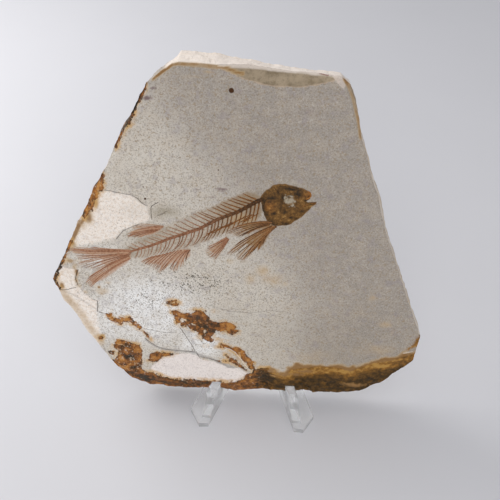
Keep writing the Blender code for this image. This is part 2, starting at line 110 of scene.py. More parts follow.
def nearest(points, line, closed=False):
    """Distance from each point to a line of straight steps, which step it is, the share along
    that step, and on which side of it the point lies (1 left, -1 right)."""
    line = np.asarray(line, float)
    starts = line if closed else line[:-1]
    ends = np.roll(line, -1, axis=0) if closed else line[1:]
    best = np.full(len(points), 1e9)
    step = np.zeros(len(points), int)
    share = np.zeros(len(points))
    side = np.ones(len(points))
    for index, (start, end) in enumerate(zip(starts, ends)):
        along = end - start
        away = points[:, :2] - start
        place = (away @ along) / (along @ along)
        kept = np.clip(place, 0.0, 1.0)
        gap = away - kept[:, None] * along
        distance = np.hypot(gap[:, 0], gap[:, 1])
        turn = along[0] * away[:, 1] - along[1] * away[:, 0]
        closer = distance < best
        best = np.where(closer, distance, best)
        step = np.where(closer, index, step)
        share = np.where(closer, place, share)
        side = np.where(closer, np.where(turn >= 0.0, 1.0, -1.0), side)
    return best, step, share, side


def within(points, outline):
    """Signed distance to a closed outline, negative inside: the distance to its nearest step,
    with the sign from the count of steps that a ray to the right crosses."""
    outline = np.asarray(outline, float)
    crossings = np.zeros(len(points), int)
    for start, end in zip(outline, np.roll(outline, -1, axis=0)):
        if start[1] == end[1]:
            continue
        straddles = (start[1] > points[:, 1]) != (end[1] > points[:, 1])
        where = start[0] + (points[:, 1] - start[1]) * (end[0] - start[0]) / (end[1] - start[1])
        crossings += straddles & (points[:, 0] < where)
    distance = nearest(points, outline, closed=True)[0]
    return np.where(crossings % 2 == 1, -distance, distance)


def along_line(line, shares):
    """Points at equal-length shares along a line of straight steps."""
    line = np.asarray(line, float)
    lengths = np.concatenate(([0.0], np.cumsum(np.hypot(*np.diff(line, axis=0).T))))
    where = np.asarray(shares) * lengths[-1]
    return np.stack([np.interp(where, lengths, line[:, axis]) for axis in (0, 1)], axis=-1)


def bump_hill(points, x, u, wide, high):
    """1 at a point of the face and less around it, as exp(-(dx/wide)^2 - (du/high)^2)."""
    return np.exp(-((points[:, 0] - x) / wide) ** 2 - ((points[:, 1] - u) / high) ** 2)


# ---------------------------------------------------------------- meshes

def cells(numbers):
    """The faces of a grid of point numbers, each with its corners anticlockwise where the first
    axis runs to the right and the second one up."""
    return np.stack((numbers[:-1, :-1], numbers[1:, :-1], numbers[1:, 1:], numbers[:-1, 1:]),
                    axis=-1).reshape(-1, 4)


def border(numbers):
    """The point numbers round the edge of such a grid, anticlockwise from its first corner."""
    return np.concatenate((numbers[:-1, 0], numbers[-1, :-1], numbers[:0:-1, -1],
                           numbers[0, :0:-1]))


def add_object(name, data):
    """A new object in the scene, from a mesh, a lamp or a camera."""
    item = bpy.data.objects.new(name, data)
    bpy.context.scene.collection.objects.link(item)
    return item


def new_piece(name, points, corners, sizes, fields=None, smooth_angle=None):
    """A mesh from points in metres, the corners of all faces in one row and each face's count.

    fields are values on the points, by name, as one number or three.
    """
    mesh = bpy.data.meshes.new(name)
    mesh.vertices.add(len(points))
    mesh.vertices.foreach_set("co", np.ascontiguousarray(points, np.float32).ravel())
    mesh.loops.add(len(corners))
    mesh.loops.foreach_set("vertex_index", np.ascontiguousarray(corners, np.int32))
    mesh.polygons.add(len(sizes))
    starts = np.concatenate(([0], np.cumsum(sizes)[:-1]))
    mesh.polygons.foreach_set("loop_start", starts.astype(np.int32))
    mesh.update(calc_edges=True)
    mesh.validate()
    for field, values in (fields or {}).items():
        kind = "FLOAT" if values.ndim == 1 else "FLOAT_VECTOR"
        attribute = mesh.attributes.new(field, kind, "POINT")
        key = "value" if values.ndim == 1 else "vector"
        attribute.data.foreach_set(key, np.ascontiguousarray(values, np.float32).ravel())
    mesh.shade_smooth()
    if smooth_angle is not None:
        mesh.set_sharp_from_angle(angle=math.radians(smooth_angle))
    return add_object(name, mesh)


# ---------------------------------------------------------------- the slab's outline and breaks

TOP_SIDE = ((-24.6, 107.9), (-22.1, 110.0), (-19.1, 112.1), (-17.5, 112.6), (-11.0, 112.6),
            (-3.0, 112.1), (6.0, 111.6), (15.0, 110.9), (23.0, 110.6), (28.6, 110.2),
            (31.0, 107.8))
RIGHT_SIDE = ((61.0, 25.0), (60.3, 28.2), (57.0, 35.8), (54.0, 43.1), (50.9, 51.0), (48.2, 57.2),
              (45.9, 63.3), (44.2, 69.0), (42.2, 75.5), (40.2, 79.9), (38.4, 85.5), (35.7, 93.0),
              (34.5, 98.3), (32.5, 104.6), (31.0, 107.8))
BOTTOM_SIDE = ((-61.0, 40.0), (-60.0, 37.6), (-57.6, 32.0), (-54.6, 27.2), (-51.0, 20.5),
               (-47.6, 15.5), (-44.0, 9.4), (-41.0, 5.4), (-37.5, 1.0), (-33.2, -1.8),
               (-30.0, -3.0), (29.0, -3.0), (36.0, -2.7), (41.2, -1.5), (46.6, 0.8), (50.6, 3.7),
               (53.8, 7.8), (57.6, 11.4), (60.6, 14.4), (60.7, 19.0), (61.0, 25.0))
LEFT_SIDE = ((-61.0, 40.0), (-58.0, 45.5), (-55.0, 51.5), (-51.8, 58.1), (-48.0, 66.0),
             (-44.4, 72.9), (-41.4, 78.0), (-38.6, 83.6), (-35.0, 91.0), (-32.0, 96.2),
             (-28.6, 102.5), (-26.7, 105.8), (-24.6, 107.9))
BOTTOM_U = -3.0
TOP_U = 112.6
TOP_LEFT_RISE = 1.6           # how much higher the top's back edge is than its front edge
TOP_RIGHT_RISE = -0.9
TOP_LEFT_END = -18.0          # left of this the corner's side is square to the face
# How far the broken side stands out past the front's outline, at depths below the front
STAND_OUT_DEPTHS = (0.0, 0.9, 4.3, 6.4, 8.2, 9.0)
STAND_OUT = (0.0, 0.35, 0.45, 0.15, 0.4, 0.0)

LEFT_FLAKE = ((-47.5, 76.8), (-41.4, 73.0), (-37.1, 72.3), (-33.0, 71.7), (-30.0, 69.4),
              (-27.6, 68.2), (-27.3, 63.8), (-30.7, 62.0), (-34.0, 60.5), (-36.3, 59.3),
              (-37.7, 57.5), (-38.7, 56.4), (-45.0, 54.4), (-58.0, 53.0))
CORNER_FLAKE = ((-62.0, 46.6), (-56.0, 44.8), (-52.1, 44.3), (-53.0, 42.4), (-53.5, 40.5),
                (-53.0, 38.2), (-52.1, 37.1), (-50.6, 35.3), (-48.7, 33.4), (-46.7, 32.8),
                (-46.6, 30.8), (-47.1, 28.4), (-44.4, 27.6), (-43.4, 24.6), (-44.6, 17.6),
                (-47.0, 10.0), (-66.0, 20.0), (-66.0, 40.0))
# The cream stain covers the corner flake's left part: its first nine points, then its own edge.
CORNER_CREAM = CORNER_FLAKE[:9] + ((-46.7, 32.8), (-46.8, 30.8), (-47.2, 26.0), (-47.3, 20.3),
                                   (-46.9, 15.5), (-50.0, 12.0), (-66.0, 20.0), (-66.0, 40.0))
LOWER_FLAKE = ((-49.0, 17.8), (-43.4, 17.7), (-40.6, 17.9), (-38.2, 17.2), (-34.7, 17.0),
               (-32.8, 21.3), (-30.8, 19.0), (-29.5, 17.0), (-27.8, 15.9), (-25.4, 14.8),
               (-22.6, 14.5), (-19.2, 14.4), (-15.7, 14.2), (-13.6, 13.9), (-12.6, 12.3),
               (-9.5, 11.7), (-7.0, 11.0), (-5.0, 10.3), (2.2, 8.6), (6.4, 5.6), (8.4, -4.0),
               (-50.0, -4.0))
CHALK_HOLLOW = ((-30.0, 5.9), (-27.8, 8.3), (-25.6, 10.5), (-22.7, 11.6), (-19.9, 12.6),
                (-15.7, 12.9), (-13.3, 12.2), (-12.3, 11.0), (-9.5, 10.4), (-7.0, 10.1),
                (-4.9, 9.0), (-2.5, 7.9), (1.7, 7.8), (5.6, 5.5), (2.8, 3.5), (0.0, 2.0),
                (-3.5, 1.3), (-7.1, 1.9), (-14.1, 1.9), (-21.3, 1.3), (-24.8, 2.0),
                (-27.3, 3.1), (-29.4, 3.8))
STAINED_HOLLOW = ((-21.8, 30.4), (-19.5, 30.6), (-17.8, 29.5), (-15.4, 29.6), (-13.1, 31.0),
                  (-10.7, 30.7), (-10.0, 29.6), (-8.7, 28.5), (-9.0, 27.3), (-7.7, 27.0),
                  (-5.3, 26.7), (-3.6, 27.2), (-1.3, 26.6), (0.1, 25.5), (-0.2, 24.2),
                  (1.5, 23.9), (1.1, 23.1), (-1.2, 22.1), (-3.6, 23.2), (-6.7, 23.0),
                  (-7.7, 21.7), (-8.4, 20.5), (-7.4, 19.3), (-8.7, 18.4), (-10.5, 19.5),
                  (-12.8, 21.8), (-15.5, 23.6), (-18.2, 24.7), (-19.9, 25.4), (-20.9, 27.7))
DIAGONAL_HOLLOW = ((-5.3, 18.2), (-3.3, 17.9), (-1.2, 16.8), (0.9, 17.0), (3.0, 15.5),
                   (4.7, 13.1), (6.5, 11.5), (7.3, 8.6), (5.4, 6.6), (3.4, 8.3), (1.7, 10.3),
                   (-0.5, 13.1), (-2.5, 15.1), (-4.6, 16.2))
WEDGE = ((-17.6, 23.4), (-12.8, 21.0), (-8.0, 17.6), (-5.2, 16.6), (-0.6, 12.4), (2.4, 8.8),
         (-5.0, 10.4), (-12.2, 12.6), (-13.4, 14.6))
# Each flaked hollow and its depth
HOLLOWS = (
    (LEFT_FLAKE, 0.22),
    (CORNER_FLAKE, 0.8),
    (LOWER_FLAKE, 0.55),
    (CHALK_HOLLOW, 1.1),
    (STAINED_HOLLOW, 0.5),
    (DIAGONAL_HOLLOW, 0.45),
    (WEDGE, 0.22),
)
# Broken, sloping edges, with the slab on the left hand: x and u where the slope starts, its width
# and its drop at that width.
LOWER_EDGE = (
    (-49.0, 18.6, 2.5, 0.9), (-46.2, 14.8, 3.8, 1.6), (-43.0, 11.0, 4.6, 2.2),
    (-39.0, 7.0, 5.0, 2.4), (-35.0, 4.3, 5.0, 2.4), (-30.0, 2.7, 4.6, 2.4),
    (-20.0, 2.0, 4.2, 1.9), (-8.0, 2.1, 4.2, 2.6), (0.6, 2.4, 4.4, 2.1),
    (4.6, 4.4, 6.2, 2.8), (7.0, 8.2, 10.0, 3.2), (10.5, 9.3, 11.0, 3.4),
    (12.8, 7.6, 9.8, 3.4), (17.2, 6.4, 8.5, 3.3), (19.6, 9.4, 11.5, 3.4),
    (24.0, 10.4, 12.5, 3.5), (31.0, 11.4, 13.5, 3.5), (36.0, 11.3, 13.0, 3.5),
    (39.6, 10.2, 11.5, 3.5), (44.0, 12.8, 12.0, 3.5), (49.4, 14.6, 11.0, 3.4),
    (54.2, 16.2, 8.0, 3.2), (57.6, 17.8, 6.0, 3.0), (59.4, 21.0, 4.0, 2.4),
    (60.2, 24.6, 2.4, 1.2),
)
UPPER_RIGHT_EDGE = (
    (37.2, 88.0, 1.2, 0.5), (35.2, 93.0, 1.6, 1.2), (33.6, 98.2, 2.2, 1.8),
    (31.2, 104.6, 2.4, 2.0), (29.0, 109.6, 2.4, 2.0), (28.0, 112.0, 2.4, 2.0),
)
UPPER_LEFT_EDGE = (
    (-25.0, 108.0, 1.0, 0.8), (-27.4, 103.4, 1.6, 1.6), (-30.8, 97.0, 1.6, 1.8),
    (-32.9, 93.4, 2.2, 2.0), (-35.8, 88.0, 1.4, 1.6), (-37.6, 84.6, 0.8, 0.8),
)
LEFT_EDGE = (
    (-40.6, 78.6, 0.8, 0.8), (-41.4, 74.2, 2.4, 2.0), (-44.4, 69.4, 2.6, 2.0),
    (-46.6, 64.4, 2.2, 1.6), (-49.4, 61.0, 0.9, 0.8),
)
BROKEN_EDGES = (LOWER_EDGE, UPPER_RIGHT_EDGE, UPPER_LEFT_EDGE, LEFT_EDGE)
SCAR_CENTRE = (13.5, 147.0)   # the shell-shaped scar at the top is part of a ball
SCAR_RADIUS = 75.0            # of the ball
SCAR_REACH = 40.0             # where the ball meets the face, from its centre
# Thin flaked layers on the back: depth and outline
BACK_FLAKES = (
    (0.45, ((-64.0, 30.0), (-40.0, 41.0), (-22.0, 36.0), (-6.0, 44.0), (14.0, 41.0), (27.0, 52.0),
            (70.0, 47.0), (70.0, -8.0), (-64.0, -8.0))),
    (0.35, ((-30.0, 120.0), (-21.0, 96.0), (-6.0, 88.0), (6.0, 92.0), (19.0, 84.0), (31.0, 88.0),
            (44.0, 80.0), (44.0, 120.0))),
    (0.3, ((-12.0, 26.0), (0.0, 30.0), (16.0, 24.0), (30.0, 29.0), (41.0, 20.0), (36.0, 4.0),
           (18.0, -1.0), (-2.0, 4.0))),
)


WALL = 0.22                   # half the width of a hollow's wall, and how far its outline wavers


def ledge_depth(points, outline, depth, seed):
    """Depth of a flaked hollow: full inside its wavy outline, 0 outside, with a steep wall."""
    plane = points * IN_PLANE
    edge = within(points, outline) + WALL * rough(plane, 1.7, 3, seed)
    floor = 1.0 + 0.12 * rough(plane, 4.0, 3, seed + 7)
    return depth * floor * smooth_step(WALL, -WALL, edge)


def slope_depth(points, stations):
    """Depth of a broken edge: it grows with the distance past the line where the slope starts,
    by the drop over the width of the nearest station, and fades past the line's two ends."""
    stations = np.asarray(stations)
    distance, step, share, side = nearest(points, stations[:, :2])
    kept = np.clip(share, 0.0, 1.0)
    width, drop = (stations[step, 2:] + kept[:, None] * (stations[step + 1, 2:]
                                                         - stations[step, 2:])).T
    lengths = np.hypot(*np.diff(stations[:, :2], axis=0).T)
    past = np.maximum(-share, share - 1.0) * lengths[step]
    at_end = ((step == 0) & (share < 0.0)) | ((step == len(lengths) - 1) & (share > 1.0))
    fade = np.where(at_end, smooth_step(1.6, 0.0, past), 1.0)
    waver = 0.35 * rough(points * IN_PLANE, 3.0, 3, 11)
    travel = np.clip((distance + waver) / width, 0.0, 1.5)
    plunge = 0.15 * smooth_step(0.0, 0.3, distance + waver) + drop * travel
    plunge *= 1.0 + 0.13 * rough(points * IN_PLANE, 2.2, 3, 17)
    return np.where(side < 0.0, plunge * fade, 0.0)


def scar_depth(points):
    """Depth of the scar: a ball's height below the face, with faint rings around its centre."""
    away = np.hypot(points[:, 0] - SCAR_CENTRE[0], points[:, 1] - SCAR_CENTRE[1])
    height = math.sqrt(SCAR_RADIUS ** 2 - SCAR_REACH ** 2)
    ball = np.sqrt(SCAR_RADIUS ** 2 - np.minimum(away, SCAR_REACH) ** 2) - height
    rings = 0.06 * np.sin(away * 2.6 + 1.5 * grain(points * IN_PLANE, 6.0, 31))
    return np.where(away < SCAR_REACH, ball + rings * smooth_step(0.0, 0.5, ball), 0.0)


def face_depth(points):
    """How far the front lies below the flat face: the deepest of hollows, slopes and the scar,
    with a low undulation on all of it."""
    plane = points * IN_PLANE
    depth = np.zeros(len(points))
    for seed, (outline, drop) in enumerate(HOLLOWS):
        depth = np.maximum(depth, ledge_depth(points, outline, drop, 40 + 3 * seed))
    for stations in BROKEN_EDGES:
        depth = np.maximum(depth, slope_depth(points, stations))
    depth = np.maximum(depth, scar_depth(points))
    return depth + 0.05 + 0.045 * rough(plane, 9.0, 3, 3) + 0.012 * rough(plane, 0.9, 2, 5)


def back_depth(points):
    """How far the back lies in front of the flat back: thin flaked layers and an undulation."""
    plane = points * IN_PLANE
    depth = np.zeros(len(points))
    for seed, (drop, outline) in enumerate(BACK_FLAKES):
        edge = within(points, outline) + 1.1 * rough(plane, 7.0, 4, 70 + 5 * seed)
        depth += drop * smooth_step(0.5, -0.5, edge)
    return depth + 0.1 + 0.1 * rough(plane, 11.0, 4, 61) + 0.02 * rough(plane, 1.6, 2, 65)


# ---------------------------------------------------------------- the slab's surface

ACROSS = 320                  # faces along the bottom and along the top
UPWARD = 200                  # faces along each side
# Rings of points on the broken side, at shares of the depth from the front's edge to the back
SIDE_RINGS = np.array((0.02, 0.07, 0.14, 0.22, 0.3, 0.39, 0.48, 0.57, 0.66, 0.75, 0.83, 0.9,
                       0.96, 1.0))
BACK_INSET = 0.006            # the part of the back's width that its rim takes at each edge
FRONT, BACK = 0.0, 2.0        # a point's zone: the side's points have their share of the depth


def packed(count, busy, pull):
    """Shares from 0 to 1, closer together around the busy place."""
    fine = np.linspace(0.0, 1.0, 400)
    density = 1.0 + pull * np.exp(-((fine - busy) / 0.22) ** 2)
    total = np.concatenate(([0.0], np.cumsum((density[1:] + density[:-1]) / 2)))
    return np.interp(np.linspace(0.0, total[-1], count + 1), total, fine)


def round_the_slab(across, upward):
    """Points once round the outline, anticlockwise from its left corner."""
    bottom = along_line(BOTTOM_SIDE, across[:-1])
    right = along_line(RIGHT_SIDE, upward[:-1])
    top = along_line(TOP_SIDE, across[:0:-1])
    left = along_line(LEFT_SIDE, upward[:0:-1])
    return np.concatenate((bottom, right, top, left))


def outward(ring):
    """Unit directions out of a ring of points, from each point's two neighbours at 3 steps."""
    along = np.roll(ring, -3, axis=0) - np.roll(ring, 3, axis=0)
    along /= np.hypot(*along.T)[:, None]
    return np.stack((along[:, 1], -along[:, 0]), axis=-1)


def side_point(ring, normals, depth):
    """Where the broken side lies at a depth: the outline pushed out by the stand-out of that
    depth, thin beds that stand out or back, and noise. The seat at the bottom stays flat."""
    points = np.column_stack((ring, -depth))
    seat = smooth_step(BOTTOM_U + 0.1, BOTTOM_U + 1.5, ring[:, 1])
    beds = 0.16 * grain(np.column_stack((ring * 0.05, depth)), 0.75, 83)
    chips = 0.3 * rough(points, 3.6, 4, 91) + 0.1 * rough(points, 0.9, 2, 97)
    inside = smooth_step(0.0, 0.6, depth) * smooth_step(THICKNESS + 0.1, THICKNESS - 0.5, depth)
    push = np.interp(depth, STAND_OUT_DEPTHS, STAND_OUT)
    push = (push + inside * beds + chips * (0.35 + 0.65 * inside)) * (0.12 + 0.88 * seat)
    share = smooth_step(-17.0, 25.0, ring[:, 0])
    rise = (TOP_LEFT_RISE + (TOP_RIGHT_RISE - TOP_LEFT_RISE) * share) * depth / THICKNESS
    rise = rise * smooth_step(TOP_U - 6.0, TOP_U - 3.0, ring[:, 1])
    rise = rise * smooth_step(TOP_LEFT_END - 1.0, TOP_LEFT_END + 0.5, ring[:, 0])
    moved = ring + normals * push[:, None] + np.column_stack((np.zeros(len(ring)), rise))
    return np.column_stack((moved, -depth))


def patch(ring, across, upward, s, t):
    """Points of a surface through its four sides.

    At shares s across and t up it is the blend of the two sides across, by t, plus the blend of
    the two upright sides, by s, less the blend of the four corners.
    """
    count_s, count_t = len(across) - 1, len(upward) - 1
    corners = np.cumsum((0, count_s, count_t, count_s))
    closed = np.concatenate((ring, ring[:1]))
    bottom = closed[corners[0]:corners[1] + 1]
    right = closed[corners[1]:corners[2] + 1]
    top = closed[corners[2]:corners[3] + 1][::-1]
    left = closed[corners[3]:][::-1]

    def at(side, shares, place):
        return np.stack([np.interp(place, shares, side[:, axis]) for axis in range(2)], axis=-1)

    low, high = at(bottom, across, s), at(top, across, s)
    west, east = at(left, upward, t), at(right, upward, t)
    s, t = s[..., None], t[..., None]
    blend = (1.0 - t) * low + t * high + (1.0 - s) * west + s * east
    flat = (1.0 - s) * ((1.0 - t) * bottom[0] + t * top[0])
    return blend - flat - s * ((1.0 - t) * bottom[-1] + t * top[-1])


def slab_surface():
    """The closed slab: points on its own axes, the corners of its faces, their counts and each
    point's zone.

    The front is a patch of s across and t up, lowered by face_depth. Rings go round the broken
    side from its edge to the back. The back is a patch of half as many faces each way, seen from
    behind, and a rim of five-cornered faces joins it to the last ring.
    """
    across = packed(ACROSS, 0.3, 0.9)
    upward = packed(UPWARD, 0.12, 0.9)
    outline = round_the_slab(across, upward)
    normals = outward(outline)
    flat = np.column_stack((outline, np.zeros(len(outline))))
    front_depth = face_depth(flat)
    edge = side_point(outline, normals, front_depth)
    count = len(outline)

    s, t = np.meshgrid(across, upward, indexing="ij")
    front = patch(edge[:, :2], across, upward, s, t).reshape(-1, 2)
    front = np.column_stack((front, np.zeros(len(front))))
    front[:, 2] = -face_depth(front)
    rows, columns = len(across), len(upward)
    numbers = np.arange(rows * columns).reshape(rows, columns)
    outer = border(numbers)
    front[outer] = edge
    points = [front]
    faces = [cells(numbers)]
    total = len(front)
    for share in SIDE_RINGS:
        depth = front_depth + (THICKNESS - front_depth) * share
        if share == SIDE_RINGS[-1]:
            depth = THICKNESS - back_depth(flat)
        points.append(side_point(outline, normals, depth))
        ring = total + np.arange(count)
        faces.append(np.stack((outer, ring, np.roll(ring, -1), np.roll(outer, -1)), axis=-1))
        outer = ring
        total += count

    half_across, half_upward = across[::2], upward[::2]
    s, t = np.meshgrid(half_across, half_upward, indexing="ij")
    s = BACK_INSET + (1.0 - 2.0 * BACK_INSET) * s
    t = BACK_INSET + (1.0 - 2.0 * BACK_INSET) * t
    back = patch(points[-1][:, :2], across, upward, s, t).reshape(-1, 2)
    back = np.column_stack((back, np.zeros(len(back))))
    back[:, 2] = back_depth(back) - THICKNESS
    rows, columns = len(half_across), len(half_upward)
    numbers = total + np.arange(rows * columns).reshape(rows, columns)
    points.append(back)
    faces.append(cells(numbers.T))
    inner = border(numbers)
    fans = np.stack((outer[::2], inner, np.roll(inner, -1), np.roll(outer[::2], -1), outer[1::2]),
                    axis=-1)
    corners = np.concatenate([quad.ravel() for quad in faces] + [fans.ravel()])
    sizes = np.concatenate((np.full(sum(len(quad) for quad in faces), 4), np.full(len(fans), 5)))
    shares = (FRONT, *SIDE_RINGS, BACK)
    zone = np.concatenate([np.full(len(part), share) for part, share in zip(points, shares)])
    return np.concatenate(points), corners, sizes, zone


# ---------------------------------------------------------------- stains and cracks in the stone

CHAIN = ((-44.4, 27.8), (-42.0, 28.3), (-41.8, 26.4), (-40.0, 26.5), (-35.9, 27.1), (-34.6, 26.0),
         (-33.0, 24.1), (-31.6, 23.0), (-32.7, 22.1), (-35.0, 24.0), (-36.0, 25.1), (-38.1, 25.0),
         (-39.2, 24.1), (-41.2, 24.8), (-43.2, 25.5), (-44.1, 27.0))
CHAIN_END = ((-31.8, 21.9), (-30.4, 21.0), (-29.0, 18.2), (-30.0, 18.8), (-31.0, 20.6))
DROP = ((-30.5, 9.3), (-30.1, 11.5), (-29.0, 12.8), (-26.9, 13.0), (-22.7, 12.9), (-20.6, 12.6),
        (-22.7, 11.6), (-25.6, 11.0), (-27.0, 9.2), (-28.5, 8.6))
# The brown band along the bottom follows the chalk hollow's lower side, its last nine points.
BROWN_BAND = (
    ((-42.6, 14.0), (-41.3, 17.4), (-39.2, 17.2), (-36.5, 16.5), (-33.4, 15.5), (-32.5, 13.0),
     (-32.6, 9.6), (-33.2, 6.6), (-32.6, 4.4))
    + CHALK_HOLLOW[:-10:-1]
    + ((5.0, 6.0), (7.3, 8.6), (9.3, 9.2), (11.4, 9.3), (12.1, 8.1), (14.9, 7.4), (17.4, 6.3),
       (19.0, 9.4), (22.4, 10.1), (25.8, 10.8), (29.2, 11.4), (36.1, 11.3), (39.6, 10.0),
       (42.8, 12.0), (46.7, 13.9), (49.4, 14.5), (52.0, 15.1), (54.2, 16.1), (56.8, 17.5),
       (59.4, 17.7), (66.0, 18.5), (66.0, -8.0), (-44.0, -8.0), (-50.0, 4.0), (-44.0, 8.2),
       (-42.3, 8.5), (-41.8, 9.8), (-40.9, 12.4))
)
OVAL = ((-44.6, 11.6), (-43.6, 12.6), (-42.4, 12.0), (-42.5, 10.4), (-43.6, 10.2))
DIAGONAL_RUST = DIAGONAL_HOLLOW[:7] + ((6.2, 9.6), (7.6, 8.2), (5.2, 7.8), (3.9, 10.1),
                                       (1.6, 12.6), (-0.6, 15.0), (-2.8, 16.2), (-4.4, 16.6))
DIAGONAL_STREAK = ((-3.9, 14.4), (-1.8, 12.9), (0.6, 11.4), (2.6, 9.2), (4.6, 7.6), (4.2, 6.9),
                   (1.4, 8.7), (-1.6, 10.7))
CORNER_RUST = ((60.7, 26.5), (66.0, 26.0), (66.0, 19.0), (56.8, 19.6), (58.6, 21.7), (59.7, 23.4))
TOP_LEFT_RUST = ((-26.5, 105.8), (-27.1, 104.0), (-27.5, 102.9), (-29.4, 100.4), (-30.7, 97.1),
                 (-31.7, 94.7), (-32.7, 93.7), (-34.0, 92.2), (-35.0, 90.0), (-36.0, 88.1),
                 (-36.9, 86.4), (-42.0, 88.0), (-38.0, 98.0), (-30.0, 109.0))
LEFT_RUST = ((-40.6, 77.6), (-41.1, 76.4), (-41.7, 73.0), (-43.0, 72.0), (-44.2, 69.6),
             (-45.0, 67.2), (-46.1, 65.4), (-48.4, 63.0), (-54.0, 64.0), (-46.0, 80.0))
CORNER_LINE_RUST = ((-53.0, 54.9), (-54.2, 51.9), (-57.0, 46.4), (-60.2, 39.9), (-58.8, 36.4),
                    (-64.0, 35.0), (-66.0, 42.0), (-56.0, 58.0))
# Small spots of rust: x, u, half width, half height
SMALL_RUST = ((-16.2, 29.8, 1.3, 0.28), (-12.0, 30.9, 1.5, 0.4), (-9.4, 19.8, 1.5, 0.35),
              (-5.9, 16.9, 1.2, 0.35), (-3.9, 11.0, 1.2, 0.22), (-46.9, 17.3, 0.8, 0.7))
RING_CENTRE = (-21.1, 33.6)   # of a small oval ring of rust
RUST_OUTLINES = (CHAIN, CHAIN_END, DROP, BROWN_BAND, OVAL, STAINED_HOLLOW, DIAGONAL_RUST,
                 DIAGONAL_STREAK, CORNER_RUST, TOP_LEFT_RUST, LEFT_RUST, CORNER_LINE_RUST)
# Darker (+) and more golden (-) places in the rust: x, u, half width, half height, amount
RUST_TONES = (
    (-11.1, 25.9, 3.0, 2.2, 0.3), (-14.6, 28.0, 2.6, 1.6, 0.2), (-9.6, 22.8, 1.8, 2.4, 0.3),
    (-6.4, 25.4, 2.4, 1.2, 0.3), (-18.8, 27.8, 2.0, 2.6, -0.15), (-2.0, 25.0, 2.6, 1.6, -0.45),
    (-36.5, 10.6, 1.5, 1.2, 0.5), (-37.6, 15.2, 1.6, 1.2, 0.3), (-39.8, 12.0, 1.2, 1.6, 0.2),
    (-35.3, 6.0, 2.0, 1.2, 0.3), (-40.0, 5.7, 2.2, 1.6, -0.2), (-34.5, 14.2, 1.4, 1.2, -0.25),
    (-40.6, 16.0, 1.2, 0.8, -0.3), (-31.5, 0.4, 3.4, 1.6, 0.55), (-36.0, 2.4, 3.0, 1.6, 0.35),
    (-18.0, -0.6, 12.0, 2.4, 0.35),
    (9.4, 6.6, 3.0, 2.4, 0.5), (12.0, 4.0, 5.0, 1.6, 0.35), (15.6, 6.0, 2.6, 1.6, -0.3),
    (24.0, 7.6, 5.0, 1.4, -0.25), (37.0, 9.2, 5.0, 1.2, -0.3), (50.0, 12.2, 5.0, 1.5, -0.3),
    (2.4, 14.6, 2.6, 1.4, -0.2), (5.4, 11.6, 1.8, 1.6, -0.3), (-44.0, 68.0, 1.4, 8.0, -0.1),
    (-30.5, 97.0, 5.0, 9.0, 0.35), (-60.0, 43.0, 4.0, 9.0, 0.35),
)
# Chips of pale stone inside the rust: x, u, half width, half height
PALE_CHIPS = ((17.0, 6.6, 1.3, 0.5), (15.4, 8.4, 1.0, 0.5), (12.6, 7.9, 0.8, 0.4),
              (21.6, 6.4, 0.7, 0.3), (41.6, 2.2, 1.6, 0.35), (-31.5, 9.6, 0.5, 2.6),
              (1.4, 12.4, 0.5, 1.8), (3.6, 9.4, 0.5, 1.4), (-18.2, 26.6, 0.5, 0.7),
              (12.9, 8.3, 0.7, 0.35), (13.4, 5.2, 0.7, 0.45), (24.5, 8.2, 1.0, 0.3),
              (60.1, 20.1, 0.6, 0.3), (-3.6, 14.1, 2.4, 0.55), (-16.9, 26.5, 0.5, 0.4),
              (-14.9, 25.0, 0.7, 0.35), (-10.6, 22.6, 0.45, 1.0))
# Soft golden washes: x, u, half width, half height, strength
WASHES = (
    (-53.2, 54.1, 1.0, 1.0, 0.9), (-54.5, 47.5, 1.5, 0.9, 0.8), (-52.9, 43.1, 0.9, 1.6, 0.9),
    (-53.2, 40.1, 0.8, 1.4, 0.7), (-50.5, 36.0, 1.2, 0.7, 0.5), (-58.4, 37.6, 1.0, 1.6, 0.9),
    (-45.6, 38.2, 0.7, 0.7, 0.9), (-45.1, 36.0, 1.6, 0.9, 0.5), (-42.5, 40.1, 1.4, 0.5, 0.4),
    (-47.2, 64.2, 1.8, 3.0, 0.9), (-44.6, 69.0, 1.4, 3.0, 0.6), (1.0, 65.4, 5.0, 1.8, 0.4),
    (52.2, 26.3, 1.0, 1.4, 0.25), (16.6, 16.7, 0.4, 0.4, 0.8), (-13.0, 31.6, 3.0, 1.0, 0.3),
    (8.8, 47.6, 3.2, 2.6, 0.4), (12.0, 44.6, 3.8, 2.6, 0.45), (4.6, 43.8, 3.0, 2.2, 0.35),
    (15.6, 43.2, 1.5, 1.2, 0.35), (-2.3, 50.3, 1.8, 1.2, 0.4), (2.0, 50.6, 2.2, 1.0, 0.25),
    (-44.4, 36.8, 2.6, 1.4, 0.5), (-46.8, 38.6, 1.4, 1.2, 0.3), (44.5, 39.5, 1.6, 1.2, 0.35),
    (49.4, 29.5, 2.6, 1.6, 0.35), (41.0, 34.0, 3.0, 2.4, 0.15), (-50.2, 61.0, 2.4, 2.4, 0.55),
    (-52.6, 53.6, 1.4, 1.4, 0.6), (-53.2, 45.0, 1.0, 2.6, 0.6), (-52.6, 38.0, 1.2, 1.6, 0.4),
    (-46.4, 18.0, 1.4, 1.4, 0.7), (-51.6, 47.8, 2.0, 1.0, 0.35), (-12.0, 109.0, 6.0, 0.7, 0.25),
    (-9.0, 110.4, 2.2, 0.6, 0.4), (-31.0, 8.0, 1.0, 1.6, 0.25), (1.0, 26.8, 4.5, 0.35, 0.35),
    (9.0, 29.0, 2.6, 0.35, 0.25), (26.0, 15.0, 14.0, 4.0, 0.22), (48.0, 19.0, 9.0, 3.0, 0.28),
)
